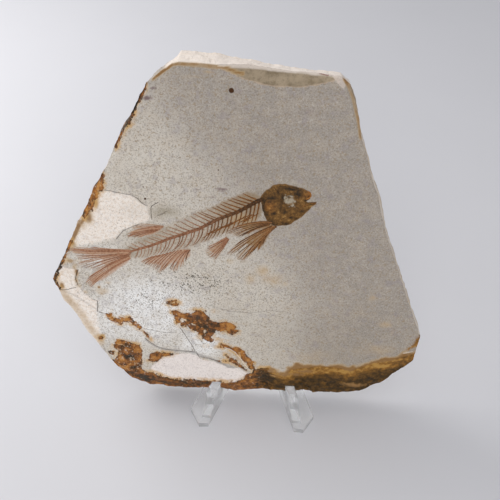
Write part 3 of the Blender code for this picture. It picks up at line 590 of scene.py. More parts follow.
# Golden stains along edges: how strong, how far they reach, the line
WASH_LINES = (
    (0.55, 3.0, ((-61.1, 39.5), (-58.3, 34.8), (-55.4, 30.6), (-52.5, 25.7), (-49.5, 20.2),
                 (-47.0, 15.8))),
    (0.75, 0.9, ((-24.6, 107.9), (-22.1, 110.0), (-19.1, 112.0), (-17.3, 112.4), (-11.1, 112.3),
                 (-6.9, 112.0), (-3.2, 111.5), (-1.0, 110.6), (1.0, 110.2))),
    (0.7, 1.1, ((29.6, 109.8), (31.0, 107.8), (32.5, 104.6), (34.5, 98.3), (35.7, 93.0))),
    (0.8, 1.6, ((-53.0, 55.5), (-50.4, 60.5), (-47.4, 65.4), (-45.6, 69.0), (-43.6, 72.5))),
    (0.5, 0.7, ((-28.6, 102.0), (-31.8, 95.6), (-34.8, 90.2), (-37.0, 86.0))),
)
# Soft grey shading below ledges: how strong, how wide, the line
SHELVES = (
    (0.75, 0.8, ((-31.0, 17.8), (-29.5, 16.8), (-27.8, 15.7), (-25.4, 14.6), (-22.6, 14.2),
                 (-19.2, 14.1), (-15.7, 13.9), (-13.4, 13.5), (-11.6, 12.7), (-9.3, 12.0),
                 (-5.6, 10.5), (-4.1, 9.5), (-2.4, 8.0), (-0.3, 7.8))),
    (0.5, 0.6, ((-34.6, 24.8), (-32.4, 22.2), (-30.4, 20.0), (-29.2, 17.6))),
    (0.35, 0.6, ((-18.0, 23.9), (-15.6, 20.0), (-13.2, 16.6))),
    (0.4, 0.5, ((-58.4, 35.5), (-55.6, 34.6), (-52.0, 32.2), (-48.4, 29.6), (-44.7, 27.6))),
    (0.35, 0.5, ((-38.7, 56.3), (-36.6, 58.9), (-35.6, 60.0))),
)
CRACK_WIDTH = 0.1
# Cracks and the shaded feet of ledges, and pale broken rims below zero: how dark, how wide, the
# line
CRACKS_AND_LEDGE_SHADOWS = (
    (0.75, 0.10, ((-41.4, 73.0), (-39.5, 72.8), (-37.1, 72.3), (-34.9, 72.0), (-33.0, 71.8),
                  (-30.9, 70.6), (-30.0, 69.3), (-28.5, 68.3))),
    (0.8, 0.10, ((-24.6, 69.7), (-25.7, 69.1), (-27.0, 68.1), (-27.0, 66.0), (-27.0, 64.0))),
    (0.5, 0.12, ((-25.0, 65.2), (-23.3, 65.9), (-22.2, 66.8))),
    (0.6, 0.12, ((-31.0, 61.9), (-34.0, 60.5), (-36.3, 59.3), (-37.7, 57.5), (-38.7, 56.3))),
    (0.9, 0.09, ((-59.2, 35.8), (-56.6, 36.1), (-55.4, 36.7), (-53.8, 37.0))),
    (0.85, 0.16, CORNER_FLAKE[2:12] + ((-45.7, 28.1), (-44.4, 27.8))),
    (0.55, 0.20, ((-31.2, 18.4),) + LOWER_FLAKE[7:18]),
    (0.85, 0.10, ((-18.8, 23.7), (-16.7, 20.1), (-15.0, 17.1), (-13.8, 14.4))),
    (0.4, 0.10, ((-13.6, 21.2), (-12.0, 19.2), (-10.8, 17.6))),
    (0.45, 0.09, ((-30.4, 22.6), (-27.0, 21.9), (-24.2, 21.6), (-20.4, 22.0))),
    (0.35, 0.10, ((-9.0, 33.5), (-2.0, 31.5), (5.0, 31.2), (11.0, 32.6), (17.0, 32.4))),
    (-0.9, 0.10, ((-3.6, 16.5), (-1.8, 15.9), (-0.1, 14.7), (2.2, 11.7), (3.1, 10.0), (4.9, 7.8))),
    (-0.9, 0.12, ((56.8, 18.6), (58.3, 18.9), (59.9, 18.8))),
)


def rust_distance(points):
    """Signed distance to the nearest rust stain, negative inside, with pale chips taken out."""
    distance = np.full(len(points), FAR_AWAY)
    for outline in RUST_OUTLINES:
        distance = np.minimum(distance, within(points, outline))
    for x, u, wide, high in SMALL_RUST:
        spot = np.hypot((points[:, 0] - x) / wide, (points[:, 1] - u) / high)
        distance = np.minimum(distance, (spot - 1.0) * min(wide, high))
    ring = np.hypot((points[:, 0] - RING_CENTRE[0]) / 2.0, (points[:, 1] - RING_CENTRE[1]) / 1.1)
    distance = np.minimum(distance, np.abs(ring - 0.75) * 1.4 - 0.42)
    for x, u, wide, high in PALE_CHIPS:
        chip = np.hypot((points[:, 0] - x) / wide, (points[:, 1] - u) / high)
        distance = np.maximum(distance, (1.0 - chip) * min(wide, high))
    return distance


def rust_tone(points):
    """From golden, 0, to dark brown, 1: the right part of the brown band is golden at its edge
    and darkens inwards, and each listed place adds its amount as a bump_hill."""
    inwards = -within(points, BROWN_BAND)
    right = smooth_step(4.0, 10.0, points[:, 0])
    tone = 0.42 + right * (0.44 * smooth_step(1.0, 7.5, inwards) - 0.12)
    for x, u, wide, high, amount in RUST_TONES:
        tone += amount * bump_hill(points, x, u, wide, high)
    return tone


def golden_wash(points, rust):
    """Strength of the soft golden staining: the largest of a ragged fringe above the right part
    of the brown band, a halo at the right end of the stained hollow, the listed lines, which fade
    behind the front, and the listed places."""
    near_band = within(points, BROWN_BAND)
    right = smooth_step(6.0, 14.0, points[:, 0])
    ragged = near_band + 1.1 * rough(points, 3.0, 3, 61)
    wash = 0.95 * right * smooth_step(2.6, -0.3, ragged)
    lobe = bump_hill(points, -1.0, 24.8, 4.0, 3.0)
    wash = np.maximum(wash, 0.9 * lobe * smooth_step(0.9, -0.2, rust))
    near_front = smooth_step(-2.6, -0.3, points[:, 2])
    for strength, reach, line in WASH_LINES:
        close = smooth_step(reach, 0.1 * reach, nearest(points, line)[0])
        wash = np.maximum(wash, strength * close * near_front)
    for x, u, wide, high, strength in WASHES:
        wash = np.maximum(wash, strength * bump_hill(points, x, u, wide, high))
    return wash


def ledge_shade(points):
    """How grey the shading below the ledges is: strongest on each line, fading over its width."""
    shade = np.zeros(len(points))
    for strength, width, line in SHELVES:
        shade = np.maximum(shade, strength * smooth_step(width, 0.0, nearest(points, line)[0]))
    return shade


def crack_and_ledge_shadow_fields(points):
    """Signed distance to the nearest crack, painted ledge shadow or pale rim, less than zero on
    its
    right, and how dark it is there: its own darkness within its ends, fading over 0.5 mm past
    them. The distance is scaled as if each line was CRACK_WIDTH wide."""
    best = np.full(len(points), FAR_AWAY)
    signed = np.full(len(points), FAR_AWAY)
    dark = np.zeros(len(points))
    wide = np.full(len(points), CRACK_WIDTH)
    for strength, width, line in CRACKS_AND_LEDGE_SHADOWS:
        distance, step, share, side = nearest(points, line)
        lengths = np.hypot(*np.diff(np.asarray(line), axis=0).T)
        past = np.maximum(-share * (step == 0), (share - 1.0) * (step == len(lengths) - 1))
        fade = smooth_step(0.5, 0.0, past * lengths[step])
        closer = distance < best
        best = np.where(closer, distance, best)
        signed = np.where(closer, distance * side, signed)
        dark = np.where(closer, strength * fade * smooth_step(1.1, 0.7, distance), dark)
        wide = np.where(closer, width, wide)
    return signed / wide * CRACK_WIDTH, dark


# ---------------------------------------------------------------- the fish's bones

BACKBONE = ((7.6, 72.4), (5.35, 71.2), (2.9, 69.5), (0.0, 67.7), (-2.9, 66.4), (-5.9, 65.0),
            (-8.9, 63.2), (-12.0, 61.3), (-14.9, 60.1), (-18.1, 58.7), (-21.3, 57.5),
            (-24.6, 55.9), (-27.9, 54.4), (-30.2, 53.6), (-32.5, 52.8), (-35.0, 51.7))
# Tips of the upper spines and of the ribs and lower spines, at equal steps along the backbone
UPPER_TIPS = ((3.0, 74.6), (-3.2, 71.5), (-7.6, 69.0), (-13.2, 66.5), (-18.7, 63.0),
              (-24.2, 59.6), (-29.6, 56.8), (-33.7, 54.8), (-37.2, 52.8))
LOWER_TIPS = ((6.6, 64.9), (1.9, 63.6), (-4.0, 60.2), (-10.1, 57.1), (-16.2, 54.7),
              (-22.0, 52.6), (-26.9, 51.2), (-31.6, 50.0), (-36.5, 49.6))
# Where the spines and the ribs leave the backbone, in mm from the head
UPPER_SPINES = (1.1, 2.3, 3.7, 5.0, 6.8, 8.5, 10.0, 11.6, 13.2, 15.3, 16.3, 17.9, 19.5, 21.4, 23.2,
                25.0, 26.9, 28.6, 30.3, 32.6, 34.6, 35.8, 37.9, 40.6, 42.8, 44.5)
LOWER_SPINES = (1.0, 2.3, 3.9, 5.4, 7.3, 9.1, 10.7, 12.1, 13.8, 15.3, 16.5, 17.7, 19.2, 21.1, 22.3,
                23.9, 25.1, 26.7, 28.0, 29.1, 30.9, 32.4, 34.0, 35.9, 37.2, 39.1, 40.3, 41.6, 42.8,
                44.0, 46.5)
UPPER_BENDS = (0.01, 0.02, 0.03, 0.02)      # at the head, a quarter, a half and the tail
LOWER_BENDS = (0.01, 0.05, 0.1, 0.1)
VERTEBRA = 1.55               # from one vertebra to the next
SMALL_BONES = ((6.4, 67.6), (3.9, 66.9), (0.8, 65.4), (-3.2, 63.4), (-6.4, 61.8))
SKULL = ((6.9, 72.2), (6.9, 72.8), (7.4, 73.8), (8.2, 74.8), (9.2, 75.8), (10.2, 76.6),
         (11.4, 77.3), (12.9, 77.7), (14.6, 77.6), (16.7, 77.3), (18.8, 76.9), (20.7, 76.2),
         (21.75, 75.6), (22.5, 74.8), (22.3, 73.9), (21.9, 73.0), (20.9, 72.4), (21.5, 72.0),
         (24.2, 72.3), (24.0, 71.6), (22.8, 70.6), (21.7, 69.2), (20.5, 67.8), (19.1, 66.4),
         (17.9, 65.6), (16.7, 64.5), (15.2, 63.9), (13.6, 63.7), (12.1, 63.6), (10.8, 64.0),
         (9.2, 65.3), (8.4, 67.2), (7.9, 68.8), (7.5, 70.6))
SKULL_CENTRE = (14.5, 70.4)
ORBIT = ((14.1, 72.2), (14.2, 73.3), (14.8, 74.4), (15.3, 75.0), (15.9, 74.5), (16.6, 74.5),
         (17.2, 74.2), (17.3, 73.4), (18.2, 73.1), (18.1, 72.4), (17.5, 71.5), (17.4, 70.8),
         (16.1, 70.4), (15.1, 70.9), (14.5, 71.4))
# Darker (+) and more golden (-) places on the skull: x, u, half width, half height, amount
SKULL_TONES = (
    (16.3, 76.3, 2.2, 0.6, 0.55), (18.4, 74.6, 1.1, 0.9, 0.6), (13.7, 73.4, 0.6, 1.3, 0.4),
    (8.0, 70.4, 0.5, 2.4, 0.45), (8.8, 67.4, 0.6, 1.0, 0.35), (11.2, 67.9, 0.9, 0.5, 0.45),
    (16.4, 66.7, 0.5, 0.4, 0.5), (15.2, 64.5, 0.9, 0.5, 0.5), (10.0, 64.7, 1.4, 0.6, 0.5),
    (12.4, 75.6, 0.5, 1.2, 0.3), (10.4, 73.0, 1.5, 0.5, 0.5), (13.2, 69.6, 0.4, 1.4, 0.35),
    (21.1, 72.7, 0.7, 0.4, 0.5), (19.8, 69.0, 0.5, 0.4, 0.4), (18.3, 66.6, 0.5, 0.4, 0.3),
    (9.8, 71.7, 0.8, 0.4, 0.4), (11.6, 63.9, 0.8, 0.4, 0.45), (14.6, 68.6, 0.5, 0.6, 0.35),
    (15.6, 73.6, 0.5, 0.5, 0.3), (22.3, 73.9, 0.5, 0.4, 0.5), (17.2, 68.8, 0.9, 0.5, -0.2),
    (9.8, 70.0, 1.3, 1.1, -0.16), (19.4, 72.6, 0.9, 0.9, -0.35), (12.7, 68.2, 0.5, 1.2, -0.3),
    (14.4, 67.0, 0.7, 0.6, -0.3), (16.4, 75.3, 1.0, 0.3, -0.3), (21.6, 75.0, 0.8, 0.6, -0.15),
    (11.6, 76.3, 0.8, 0.8, -0.2), (22.4, 70.9, 1.2, 0.5, -0.3), (18.8, 67.3, 0.9, 0.4, -0.3),
    (16.1, 65.8, 0.7, 0.4, -0.3), (12.3, 66.2, 0.9, 0.5, -0.25), (15.0, 77.2, 1.6, 0.3, -0.2),
)
# Dips (+) and bulges (-) in the skull: x, u, half width, half height, depth
SKULL_DIPS = ((16.2, 72.4, 1.5, 1.5, 0.2), (9.9, 70.1, 1.5, 1.6, -0.12),
              (12.9, 70.4, 0.8, 2.6, 0.1), (15.0, 68.9, 2.4, 0.7, 0.08),
              (18.6, 70.0, 0.9, 1.6, 0.07), (12.0, 74.6, 0.7, 1.6, 0.08))
# Narrow bones that stand out on the skull: half width, how dark, how golden, and the line
HEAD_BONES = (
    (0.26, 0.75, 0.1, ((9.6, 73.1), (8.6, 72.2), (7.95, 71.0), (7.8, 69.8), (8.1, 68.6),
                       (8.9, 67.6), (10.1, 67.2), (11.4, 67.7))),
    (0.17, 0.75, 0.2, ((10.9, 76.6), (12.1, 75.4), (13.0, 73.9), (13.2, 72.4), (14.0, 71.1),
                       (14.7, 70.0), (15.9, 69.8))),
    (0.16, 0.65, 0.3, ((14.0, 72.2), (13.9, 73.4), (14.4, 74.7), (15.4, 75.4), (16.8, 75.1),
                       (17.9, 74.2), (18.7, 73.4), (18.6, 72.2), (17.8, 70.9), (16.2, 70.0),
                       (15.0, 70.5), (14.1, 71.9))),
    (0.2, 0.45, 0.7, ((19.4, 70.4), (20.9, 71.2), (22.4, 71.8), (24.0, 72.0))),
    (0.22, 0.35, 1.0, ((20.8, 73.0), (21.7, 73.5), (22.3, 74.2), (22.1, 75.1), (21.2, 75.8))),
    (0.16, 0.6, 0.3, ((13.6, 66.0), (15.8, 67.3), (18.2, 68.6), (20.4, 70.2))),
    (0.14, 0.6, 0.2, ((11.2, 66.4), (12.6, 65.3), (14.6, 64.8), (16.4, 65.2))),
    (0.18, 0.7, 0.2, ((12.2, 76.9), (14.4, 76.9), (16.8, 76.5), (19.4, 75.7))),
    (0.13, 0.55, 0.5, ((18.9, 72.0), (19.6, 73.6), (20.6, 74.6))),
    (0.13, 0.35, 0.6, ((9.0, 71.4), (10.2, 71.6), (11.4, 70.8), (11.7, 69.6), (11.2, 68.6))),
)
# Each fin: name, the line where its rays start, the line of their tips, how many rays, their
# width at the root and at the tip, and how much they curve
FINS = (
    ("pectoral_upper", ((11.0, 64.8), (10.4, 64.3), (9.8, 63.6)),
     ((0.5, 63.0), (-1.6, 62.0), (-3.7, 60.2), (-1.6, 60.0), (-0.4, 59.6), (0.8, 59.2),
      (3.4, 60.4)), 7, 0.46, 0.2, -0.06),
    ("pectoral_lower", ((11.0, 63.5), (11.7, 63.2), (12.2, 63.4)),
     ((0.0, 56.5), (-3.1, 53.0), (-0.6, 53.5), (0.5, 51.2), (2.2, 51.1), (4.0, 53.0),
      (5.7, 55.2)), 8, 0.5, 0.22, -0.03),
    ("pectoral_front", ((12.1, 63.6), (12.3, 63.4)), ((6.8, 54.7), (8.2, 57.0)),
     2, 0.6, 0.32, -0.09),
    ("pelvic", ((-3.2, 58.8), (-2.6, 58.2)),
     ((-8.9, 55.2), (-10.0, 53.9), (-9.5, 52.2), (-8.4, 51.4), (-7.3, 51.4), (-6.8, 50.9)),
     6, 0.42, 0.16, 0.02),
    ("dorsal_edge", ((-23.2, 61.6), (-23.8, 61.2)), ((-30.6, 62.0), (-32.6, 61.0), (-33.2, 60.4)),
     3, 0.26, 0.13, -0.02),
    ("dorsal", ((-23.4, 61.3), (-24.6, 60.4), (-26.4, 59.3)),
     ((-31.6, 59.9), (-35.1, 58.3), (-34.8, 57.1), (-31.0, 57.6)), 6, 0.44, 0.2, -0.03),
    ("anal_front", ((-14.9, 53.8), (-16.2, 53.6)),
     ((-16.2, 50.2), (-17.6, 47.6), (-20.2, 45.4), (-21.6, 46.4)), 4, 0.42, 0.2, -0.07),
    ("anal_rear", ((-16.6, 53.6), (-19.8, 53.2), (-23.4, 51.8), (-27.0, 50.6)),
     ((-23.2, 46.6), (-25.3, 44.6), (-26.5, 46.2), (-28.0, 47.2), (-30.2, 47.9), (-30.8, 48.6)),
     10, 0.38, 0.16, -0.05),
    ("tail_upper", ((-34.4, 52.5), (-34.9, 51.3)),
     ((-46.0, 53.0), (-54.4, 52.2), (-54.0, 51.4), (-52.6, 50.2), (-51.8, 48.4)), 8, 0.46, 0.18,
     0.012),
    ("tail_middle", ((-34.9, 51.4), (-35.2, 50.4)),
     ((-51.2, 47.3), (-53.0, 45.8), (-50.4, 45.4), (-47.6, 45.0), (-46.4, 44.4)), 5, 0.4, 0.12,
     -0.02),
    ("tail_lower", ((-35.0, 50.6), (-34.5, 49.6)),
     ((-46.0, 43.4), (-49.0, 41.5), (-49.9, 39.6), (-49.0, 38.9), (-48.5, 38.2)),
     7, 0.48, 0.2, -0.035),
)
# Where the fins' skin has left a brown tint in the stone
FIN_SKINS = (
    ((-23.4, 61.2), (-26.6, 61.4), (-29.5, 60.8), (-33.6, 59.4), (-33.8, 58.2), (-31.0, 57.8),
     (-27.7, 58.4), (-25.4, 59.4)),
    ((-15.0, 53.9), (-15.1, 51.2), (-17.0, 50.6), (-18.5, 48.2), (-20.4, 46.0), (-19.0, 49.2),
     (-21.6, 48.4), (-24.8, 45.4), (-24.6, 47.8), (-29.6, 48.4), (-27.4, 50.5), (-22.2, 51.9),
     (-18.2, 53.7)),
    ((-34.3, 52.6), (-41.6, 52.6), (-48.2, 52.2), (-53.6, 51.5), (-53.0, 50.8), (-47.0, 49.9),
     (-43.6, 48.8), (-44.4, 47.4), (-41.5, 46.2), (-42.6, 44.8), (-46.2, 42.6), (-48.6, 40.8),
     (-47.4, 39.6), (-43.7, 41.4), (-41.3, 43.4), (-39.2, 45.1), (-35.7, 47.8), (-34.3, 49.6)),
    ((10.8, 65.2), (7.7, 64.9), (5.5, 64.5), (3.0, 64.0), (0.6, 63.0), (2.5, 61.6), (5.0, 61.7),
     (8.5, 62.6), (11.5, 63.4)),
    ((11.8, 63.6), (10.6, 61.8), (9.7, 59.7), (8.8, 57.9), (7.9, 56.1), (7.0, 55.4), (5.5, 56.3),
     (4.0, 56.4), (2.6, 56.9), (4.1, 59.7), (6.2, 61.2), (9.0, 63.0)),
    ((-3.3, 58.6), (-2.9, 57.9), (-4.4, 54.9), (-5.7, 53.2), (-7.4, 53.0), (-8.9, 54.2),
     (-7.0, 56.1), (-5.4, 57.5), (-4.1, 58.4)),
)
BODY = ((7.0, 73.6), (3.2, 75.0), (-2.7, 72.4), (-8.2, 69.2), (-13.9, 66.8), (-20.2, 63.4),
        (-26.1, 59.6), (-33.4, 55.6), (-36.0, 53.0), (-36.0, 49.2), (-30.3, 49.8), (-23.7, 52.0),
        (-15.0, 53.9), (-7.6, 57.9), (-0.4, 62.6), (6.0, 64.4), (8.0, 68.0))
# Points along the backbone, a fin's ray, a spine and a narrow bone of the skull, and round each
BACKBONE_STEPS = 300
RAY_STEPS = 11
SPINE_STEPS = 9
HEAD_STEPS = 24
PROFILE_POINTS = 8
HEAD_LIFT = 0.22              # how far the skull lifts its narrow bones off the stone
BONE_SEED = 7
BONE_KEYS = ("tone", "red", "warm", "bare", "up")


def at_steps(line, shares):
    """Points at shares of a list of points, with equal shares from point to point."""
    line = np.asarray(line, float)
    where = np.asarray(shares) * (len(line) - 1)
    index = np.arange(len(line))
    return np.stack([np.interp(where, index, line[:, axis]) for axis in (0, 1)], axis=-1)


def curved(starts, ends, bend, steps):
    """Paths from starts to ends, as rows of points: the straight run, moved to its left by bend
    times its length times 4t(1 - t)."""
    t = np.linspace(0.0, 1.0, steps)[None, :, None]
    run = (ends - starts)[:, None, :]
    left = np.stack((-run[..., 1], run[..., 0]), axis=-1)
    bend = np.broadcast_to(np.asarray(bend, float), (len(starts),))[:, None, None]
    return starts[:, None, :] + run * t + left * bend * 4.0 * t * (1.0 - t)


def bone_strips(paths, half_widths, heights, sink=0.14, lift=0.0):
    """Bones that lie on the face, each a flattened oval carried along its path.

    Across a bone the oval's angle goes round once: the point is at half_width * cos(angle) from
    the path, and at height * sin(angle) above the stone or sink * sin(angle) below it, all moved
    out by lift. The angles start a little past 0, where the sine has a sign. The path's two ends
    are closed by flat faces. Gives points, corners, sizes and how far up each point is.
    """
    bones, steps = paths.shape[:2]
    along = np.gradient(paths, axis=1)
    along /= np.linalg.norm(along, axis=-1, keepdims=True) + 1e-9
    across = np.stack((-along[..., 1], along[..., 0]), axis=-1)
    angle = np.linspace(0.0, 2.0 * np.pi, PROFILE_POINTS, endpoint=False) + 0.001
    reach = np.cos(angle) * half_widths[..., None]
    rise = np.sin(angle)
    high = lift + np.where(rise > 0.0, rise * heights[..., None], rise * sink)
    flat = paths[..., None, :] + across[..., None, :] * reach[..., None]
    ground = -face_depth(np.column_stack((paths.reshape(-1, 2), np.zeros(bones * steps))))
    high = high + ground.reshape(bones, steps, 1)
    points = np.concatenate((flat, high[..., None]), axis=-1).reshape(-1, 3)
    up = np.broadcast_to(np.clip(rise, 0.0, 1.0), (bones, steps, PROFILE_POINTS)).reshape(-1)
    numbers = np.arange(len(points)).reshape(bones, steps, PROFILE_POINTS)
    turned = np.roll(numbers, -1, axis=2)
    quads = np.stack((numbers[:, :-1], numbers[:, 1:], turned[:, 1:], turned[:, :-1]), axis=-1)
    starts, ends = numbers[:, 0], numbers[:, -1, ::-1]
    corners = np.concatenate((quads.ravel(), starts.ravel(), ends.ravel()))
    sizes = np.concatenate((np.full(quads.size // 4, 4), np.full(2 * bones, PROFILE_POINTS)))
    return points, corners, sizes, up


def joined(parts):
    """Several sets of points, corners, sizes and values in one."""
    shift = np.cumsum([0] + [len(part[0]) for part in parts[:-1]])
    points = np.concatenate([part[0] for part in parts])
    corners = np.concatenate([part[1] + first for part, first in zip(parts, shift)])
    sizes = np.concatenate([part[2] for part in parts])
    fields = [np.concatenate([part[index] for part in parts]) for index in range(3, len(parts[0]))]
    return [points, corners, sizes] + fields


def backbone_strip():
    """The backbone: one strip whose width and height narrow at the middle of each vertebra, as
    the cosine along its spacing to the power 1.5, and shrink towards the tail."""
    share = np.linspace(0.0, 1.0, BACKBONE_STEPS)
    path = at_steps(BACKBONE, share)[None]
    length = np.concatenate(([0.0], np.cumsum(np.hypot(*np.diff(path[0], axis=0).T))))
    swell = np.abs(np.cos(np.pi * length / VERTEBRA)) ** 1.5
    width = np.interp(share, (0.0, 0.2, 0.6, 0.93, 1.0), (0.8, 0.68, 0.56, 0.44, 0.3))
    height = np.interp(share, (0.0, 0.5, 1.0), (0.42, 0.32, 0.2))
    return bone_strips(path, (width * (0.82 + 0.18 * swell))[None],
                       (height * (0.6 + 0.4 * swell))[None])


def spine_paths(starts, tips, bends, random):
    """Spines or ribs from where they leave the backbone to their tips, with each one's share of
    the way along the backbone."""
    lengths = np.hypot(*np.diff(np.asarray(BACKBONE), axis=0).T)
    lengths = np.concatenate(([0.0], np.cumsum(lengths)))
    share = np.interp(starts, lengths, np.linspace(0.0, 1.0, len(BACKBONE)))
    base = at_steps(BACKBONE, share)
    tip = at_steps(tips, share) + random.normal(0.0, 0.14, base.shape)
    bend = np.interp(share, (0.0, 0.25, 0.5, 1.0), bends)
    bend = bend + 0.015 * random.normal(size=len(share))
    return share, curved(base, tip, bend, SPINE_STEPS)


def small_bone_paths(random):
    """Fine bones that cross the front ribs, from a line below the backbone down to the left."""
    starts = at_steps(SMALL_BONES, np.linspace(0.0, 1.0, 20))
    starts = starts + random.normal(0.0, 0.2, starts.shape)
    ends = starts + np.array((-4.4, -2.9)) + random.normal(0.0, 0.3, starts.shape)
    return curved(starts, ends, 0.03, SPINE_STEPS)


def fin_paths(fin, random):
    """The rays of a fin: pairs that run as one from their root and part towards the tip, from
    half of the way to nine tenths of it."""
    _, root_line, tip_line, count, _, _, bend = fin
    share = np.linspace(0.0, 1.0, count)
    roots = at_steps(root_line, share)
    spread = 0.3 / count
    paths = []
    for offset in (-spread, spread):
        tips = at_steps(tip_line, np.clip(share + offset, 0.0, 1.0))
        tips = tips + random.normal(0.0, 0.12, tips.shape)
        paths.append(curved(roots, tips, bend, RAY_STEPS))
    middle = (paths[0] + paths[1]) / 2.0
    t = np.linspace(0.0, 1.0, RAY_STEPS)[None, :, None]
    part = smooth_step(0.5, 0.9, t)
    return np.concatenate([middle * (1.0 - part) + path * part for path in paths])


def fin_strips(fin, random):
    """A fin's rays, from their width at the root to their width at the tip."""
    root, tip = fin[4:6]
    paths = fin_paths(fin, random)
    t = np.linspace(0.0, 1.0, RAY_STEPS)
    vary = 1.0 + 0.15 * random.normal(size=(len(paths), 1))
    half = 0.5 * (root + (tip - root) * t ** 0.7) * vary
    half[:, -1] *= 0.5
    high = np.interp(t, (0.0, 0.5, 1.0), (0.15, 0.1, 0.04)) * vary
    return bone_strips(paths, half, high)


def plate(outline, centre, rim_points, rings, height, seed, dips):
    """A low bony plate inside an outline that can be seen whole from its centre.

    At share r out, the point is r of the way from the centre to a point of the outline, which
    noise makes ragged. It stands 0.05 mm + height * (1 - r^7) above the stone, plus noise, and
    each dip takes a bump_hill away. The rim goes 0.12 mm into the stone.
    """
    rim = along_line(tuple(outline) + (outline[0],), np.linspace(0.0, 1.0, rim_points + 1)[:-1])
    ragged = rough(np.column_stack((rim, np.zeros(rim_points))), 1.1, 3, seed + 9)
    rim = rim + 0.022 * ragged[:, None] * (rim - centre)
    share = np.sin(np.linspace(0.0, np.pi / 2.0, rings + 1))[1:]
    flat = np.asarray(centre) + share[:, None, None] * (rim - centre)[None]
    flat = np.concatenate((np.asarray(centre, float)[None], flat.reshape(-1, 2)))
    r = np.concatenate(([0.0], np.repeat(share, rim_points)))
    place = np.column_stack((flat, np.zeros(len(flat))))
    lift = 0.05 + height * (1.0 - r ** 7)
    lumps = 0.09 * rough(place, 1.6, 3, seed) + 0.05 * rough(place, 0.45, 2, seed + 5)
    lift += lumps * (1.0 - r ** 9)
    for x, u, wide, high, amount in dips:
        lift -= amount * bump_hill(flat, x, u, wide, high)
    lift = np.where(r >= 1.0, -0.12, np.maximum(lift, 0.04))
    place[:, 2] = lift - face_depth(place)
    numbers = 1 + np.arange(rings * rim_points).reshape(rings, rim_points)
    fan = np.stack((np.zeros(rim_points, int), np.roll(numbers[0], -1), numbers[0]), axis=-1)
    inner, outer = numbers[:-1], numbers[1:]
    quads = np.stack((inner, np.roll(inner, -1, axis=1), np.roll(outer, -1, axis=1), outer),
                     axis=-1)
    corners = np.concatenate((fan.ravel(), quads.ravel(), numbers[-1]))
    sizes = np.concatenate((np.full(rim_points, 3), np.full(quads.size // 4, 4), [rim_points]))
    return place, corners, sizes, np.clip(1.0 - r ** 12, 0.0, 1.0)


def all_spines():
    """About where the backbone and every spine, rib and fin ray lie."""
    random = np.random.default_rng(BONE_SEED)
    paths = [np.asarray(BACKBONE)]
    paths += list(spine_paths(UPPER_SPINES, UPPER_TIPS, UPPER_BENDS, random)[1])
    paths += list(spine_paths(LOWER_SPINES, LOWER_TIPS, LOWER_BENDS, random)[1])
    return paths + [path for fin in FINS for path in fin_paths(fin, random)]


def with_tones(strip, tone, red=0.0, warm=0.0, bare=0.0):
    """A strip's points, corners, sizes, and its values: how dark, how red, how golden, how much
    stone shows in it and how far up each point is."""
    points, corners, sizes, up = strip
    values = [np.broadcast_to(value, len(points)).astype(float)
              for value in (tone, red, warm, bare)]
    return [points, corners, sizes] + values + [up]


def bone_piece(name, parts):
    """One piece from several strips or plates, finished as fossil bone."""
    points, corners, sizes, *values = joined(parts)
    piece = new_piece(name, on_slab(points), corners, sizes,
                      dict(zip(BONE_KEYS, values), face=points), smooth_angle=50.0)
    piece.data.materials.append(bone)
    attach(piece, "root")
    return piece


# ---------------------------------------------------------------- what changes over the stone

OUTLINE = BOTTOM_SIDE + RIGHT_SIDE[1:] + TOP_SIDE[-2::-1] + LEFT_SIDE[-2:0:-1]
# Places of a tint: x, u, half width, half height, amount
BLUISH_PLACES = ((-44.0, 49.0, 12.0, 7.0, 0.6), (-30.0, 30.0, 20.0, 15.0, 1.0),
                 (-12.0, 18.0, 10.0, 7.0, 0.9), (-44.0, 26.0, 9.0, 12.0, 0.8),
                 (-30.0, 20.0, 10.0, 6.0, 0.6))
# Round dark stains: x, u and radius
ROUND_STAINS = ((-2.2, 105.4, 0.78), (-28.7, 70.7, 0.36), (-29.1, 74.6, 0.22), (-5.9, 81.2, 0.2))
SMUDGE_PLACES = ((-4.8, 74.9, 2.6, 0.8, 0.6), (-8.0, 72.4, 2.2, 0.7, 0.5),
                 (-26.6, 102.3, 1.6, 0.6, 0.9), (-24.6, 105.3, 1.0, 0.5, 0.7),
                 (-1.0, 76.4, 2.0, 0.6, 0.4), (-12.0, 84.0, 3.0, 1.4, 0.3),
                 (6.0, 92.0, 2.4, 1.6, 0.3), (20.0, 100.0, 4.0, 1.6, 0.3),
                 (-20.0, 92.0, 3.4, 1.6, 0.25), (25.0, 58.0, 4.0, 1.6, 0.3))
SPECK_PLACES = ((-14.0, 42.0, 17.0, 7.0, 1.0), (-30.0, 34.0, 12.0, 7.0, 0.85),
                (8.0, 38.0, 14.0, 7.0, 0.5), (-38.0, 62.0, 8.0, 8.0, 0.35),
                (-50.0, 36.0, 6.0, 9.0, 0.45), (-4.0, 53.0, 8.0, 4.0, 0.4),
                (-16.0, 27.0, 14.0, 6.0, 0.5), (0.0, 70.0, 8.0, 6.0, 0.3))
OLIVE_PLACES = ((30.0, 20.0, 26.0, 16.0, 0.12), (-2.0, 26.0, 14.0, 8.0, 0.12),
                (-22.6, 66.6, 4.6, 2.0, 0.55), (-29.0, 57.0, 5.0, 1.6, 0.4),
                (-35.0, 52.0, 2.0, 1.6, 0.6), (-32.0, 66.0, 5.0, 3.0, 0.18),
                (-26.0, 60.0, 4.0, 2.0, 0.25), (6.0, 74.0, 1.4, 1.4, 0.3))
PURPLE_PATCH = ((20.0, 112.0), (22.5, 112.3), (24.4, 111.9), (25.3, 111.1), (25.1, 110.3),
                (24.0, 110.5), (22.0, 111.0), (20.3, 111.5))
WHITE_CHIP = ((25.6, 111.4), (26.9, 112.0), (28.2, 110.4), (29.3, 109.6), (30.0, 107.9),
              (29.3, 107.1), (27.5, 108.7), (26.2, 110.3))
STAIN_REACH = 3.0             # how far stains run in from the edge on the back
FISH_BOX = (-57.0, 26.0, 36.0, 80.0)        # left, right, bottom and top, with room to spare


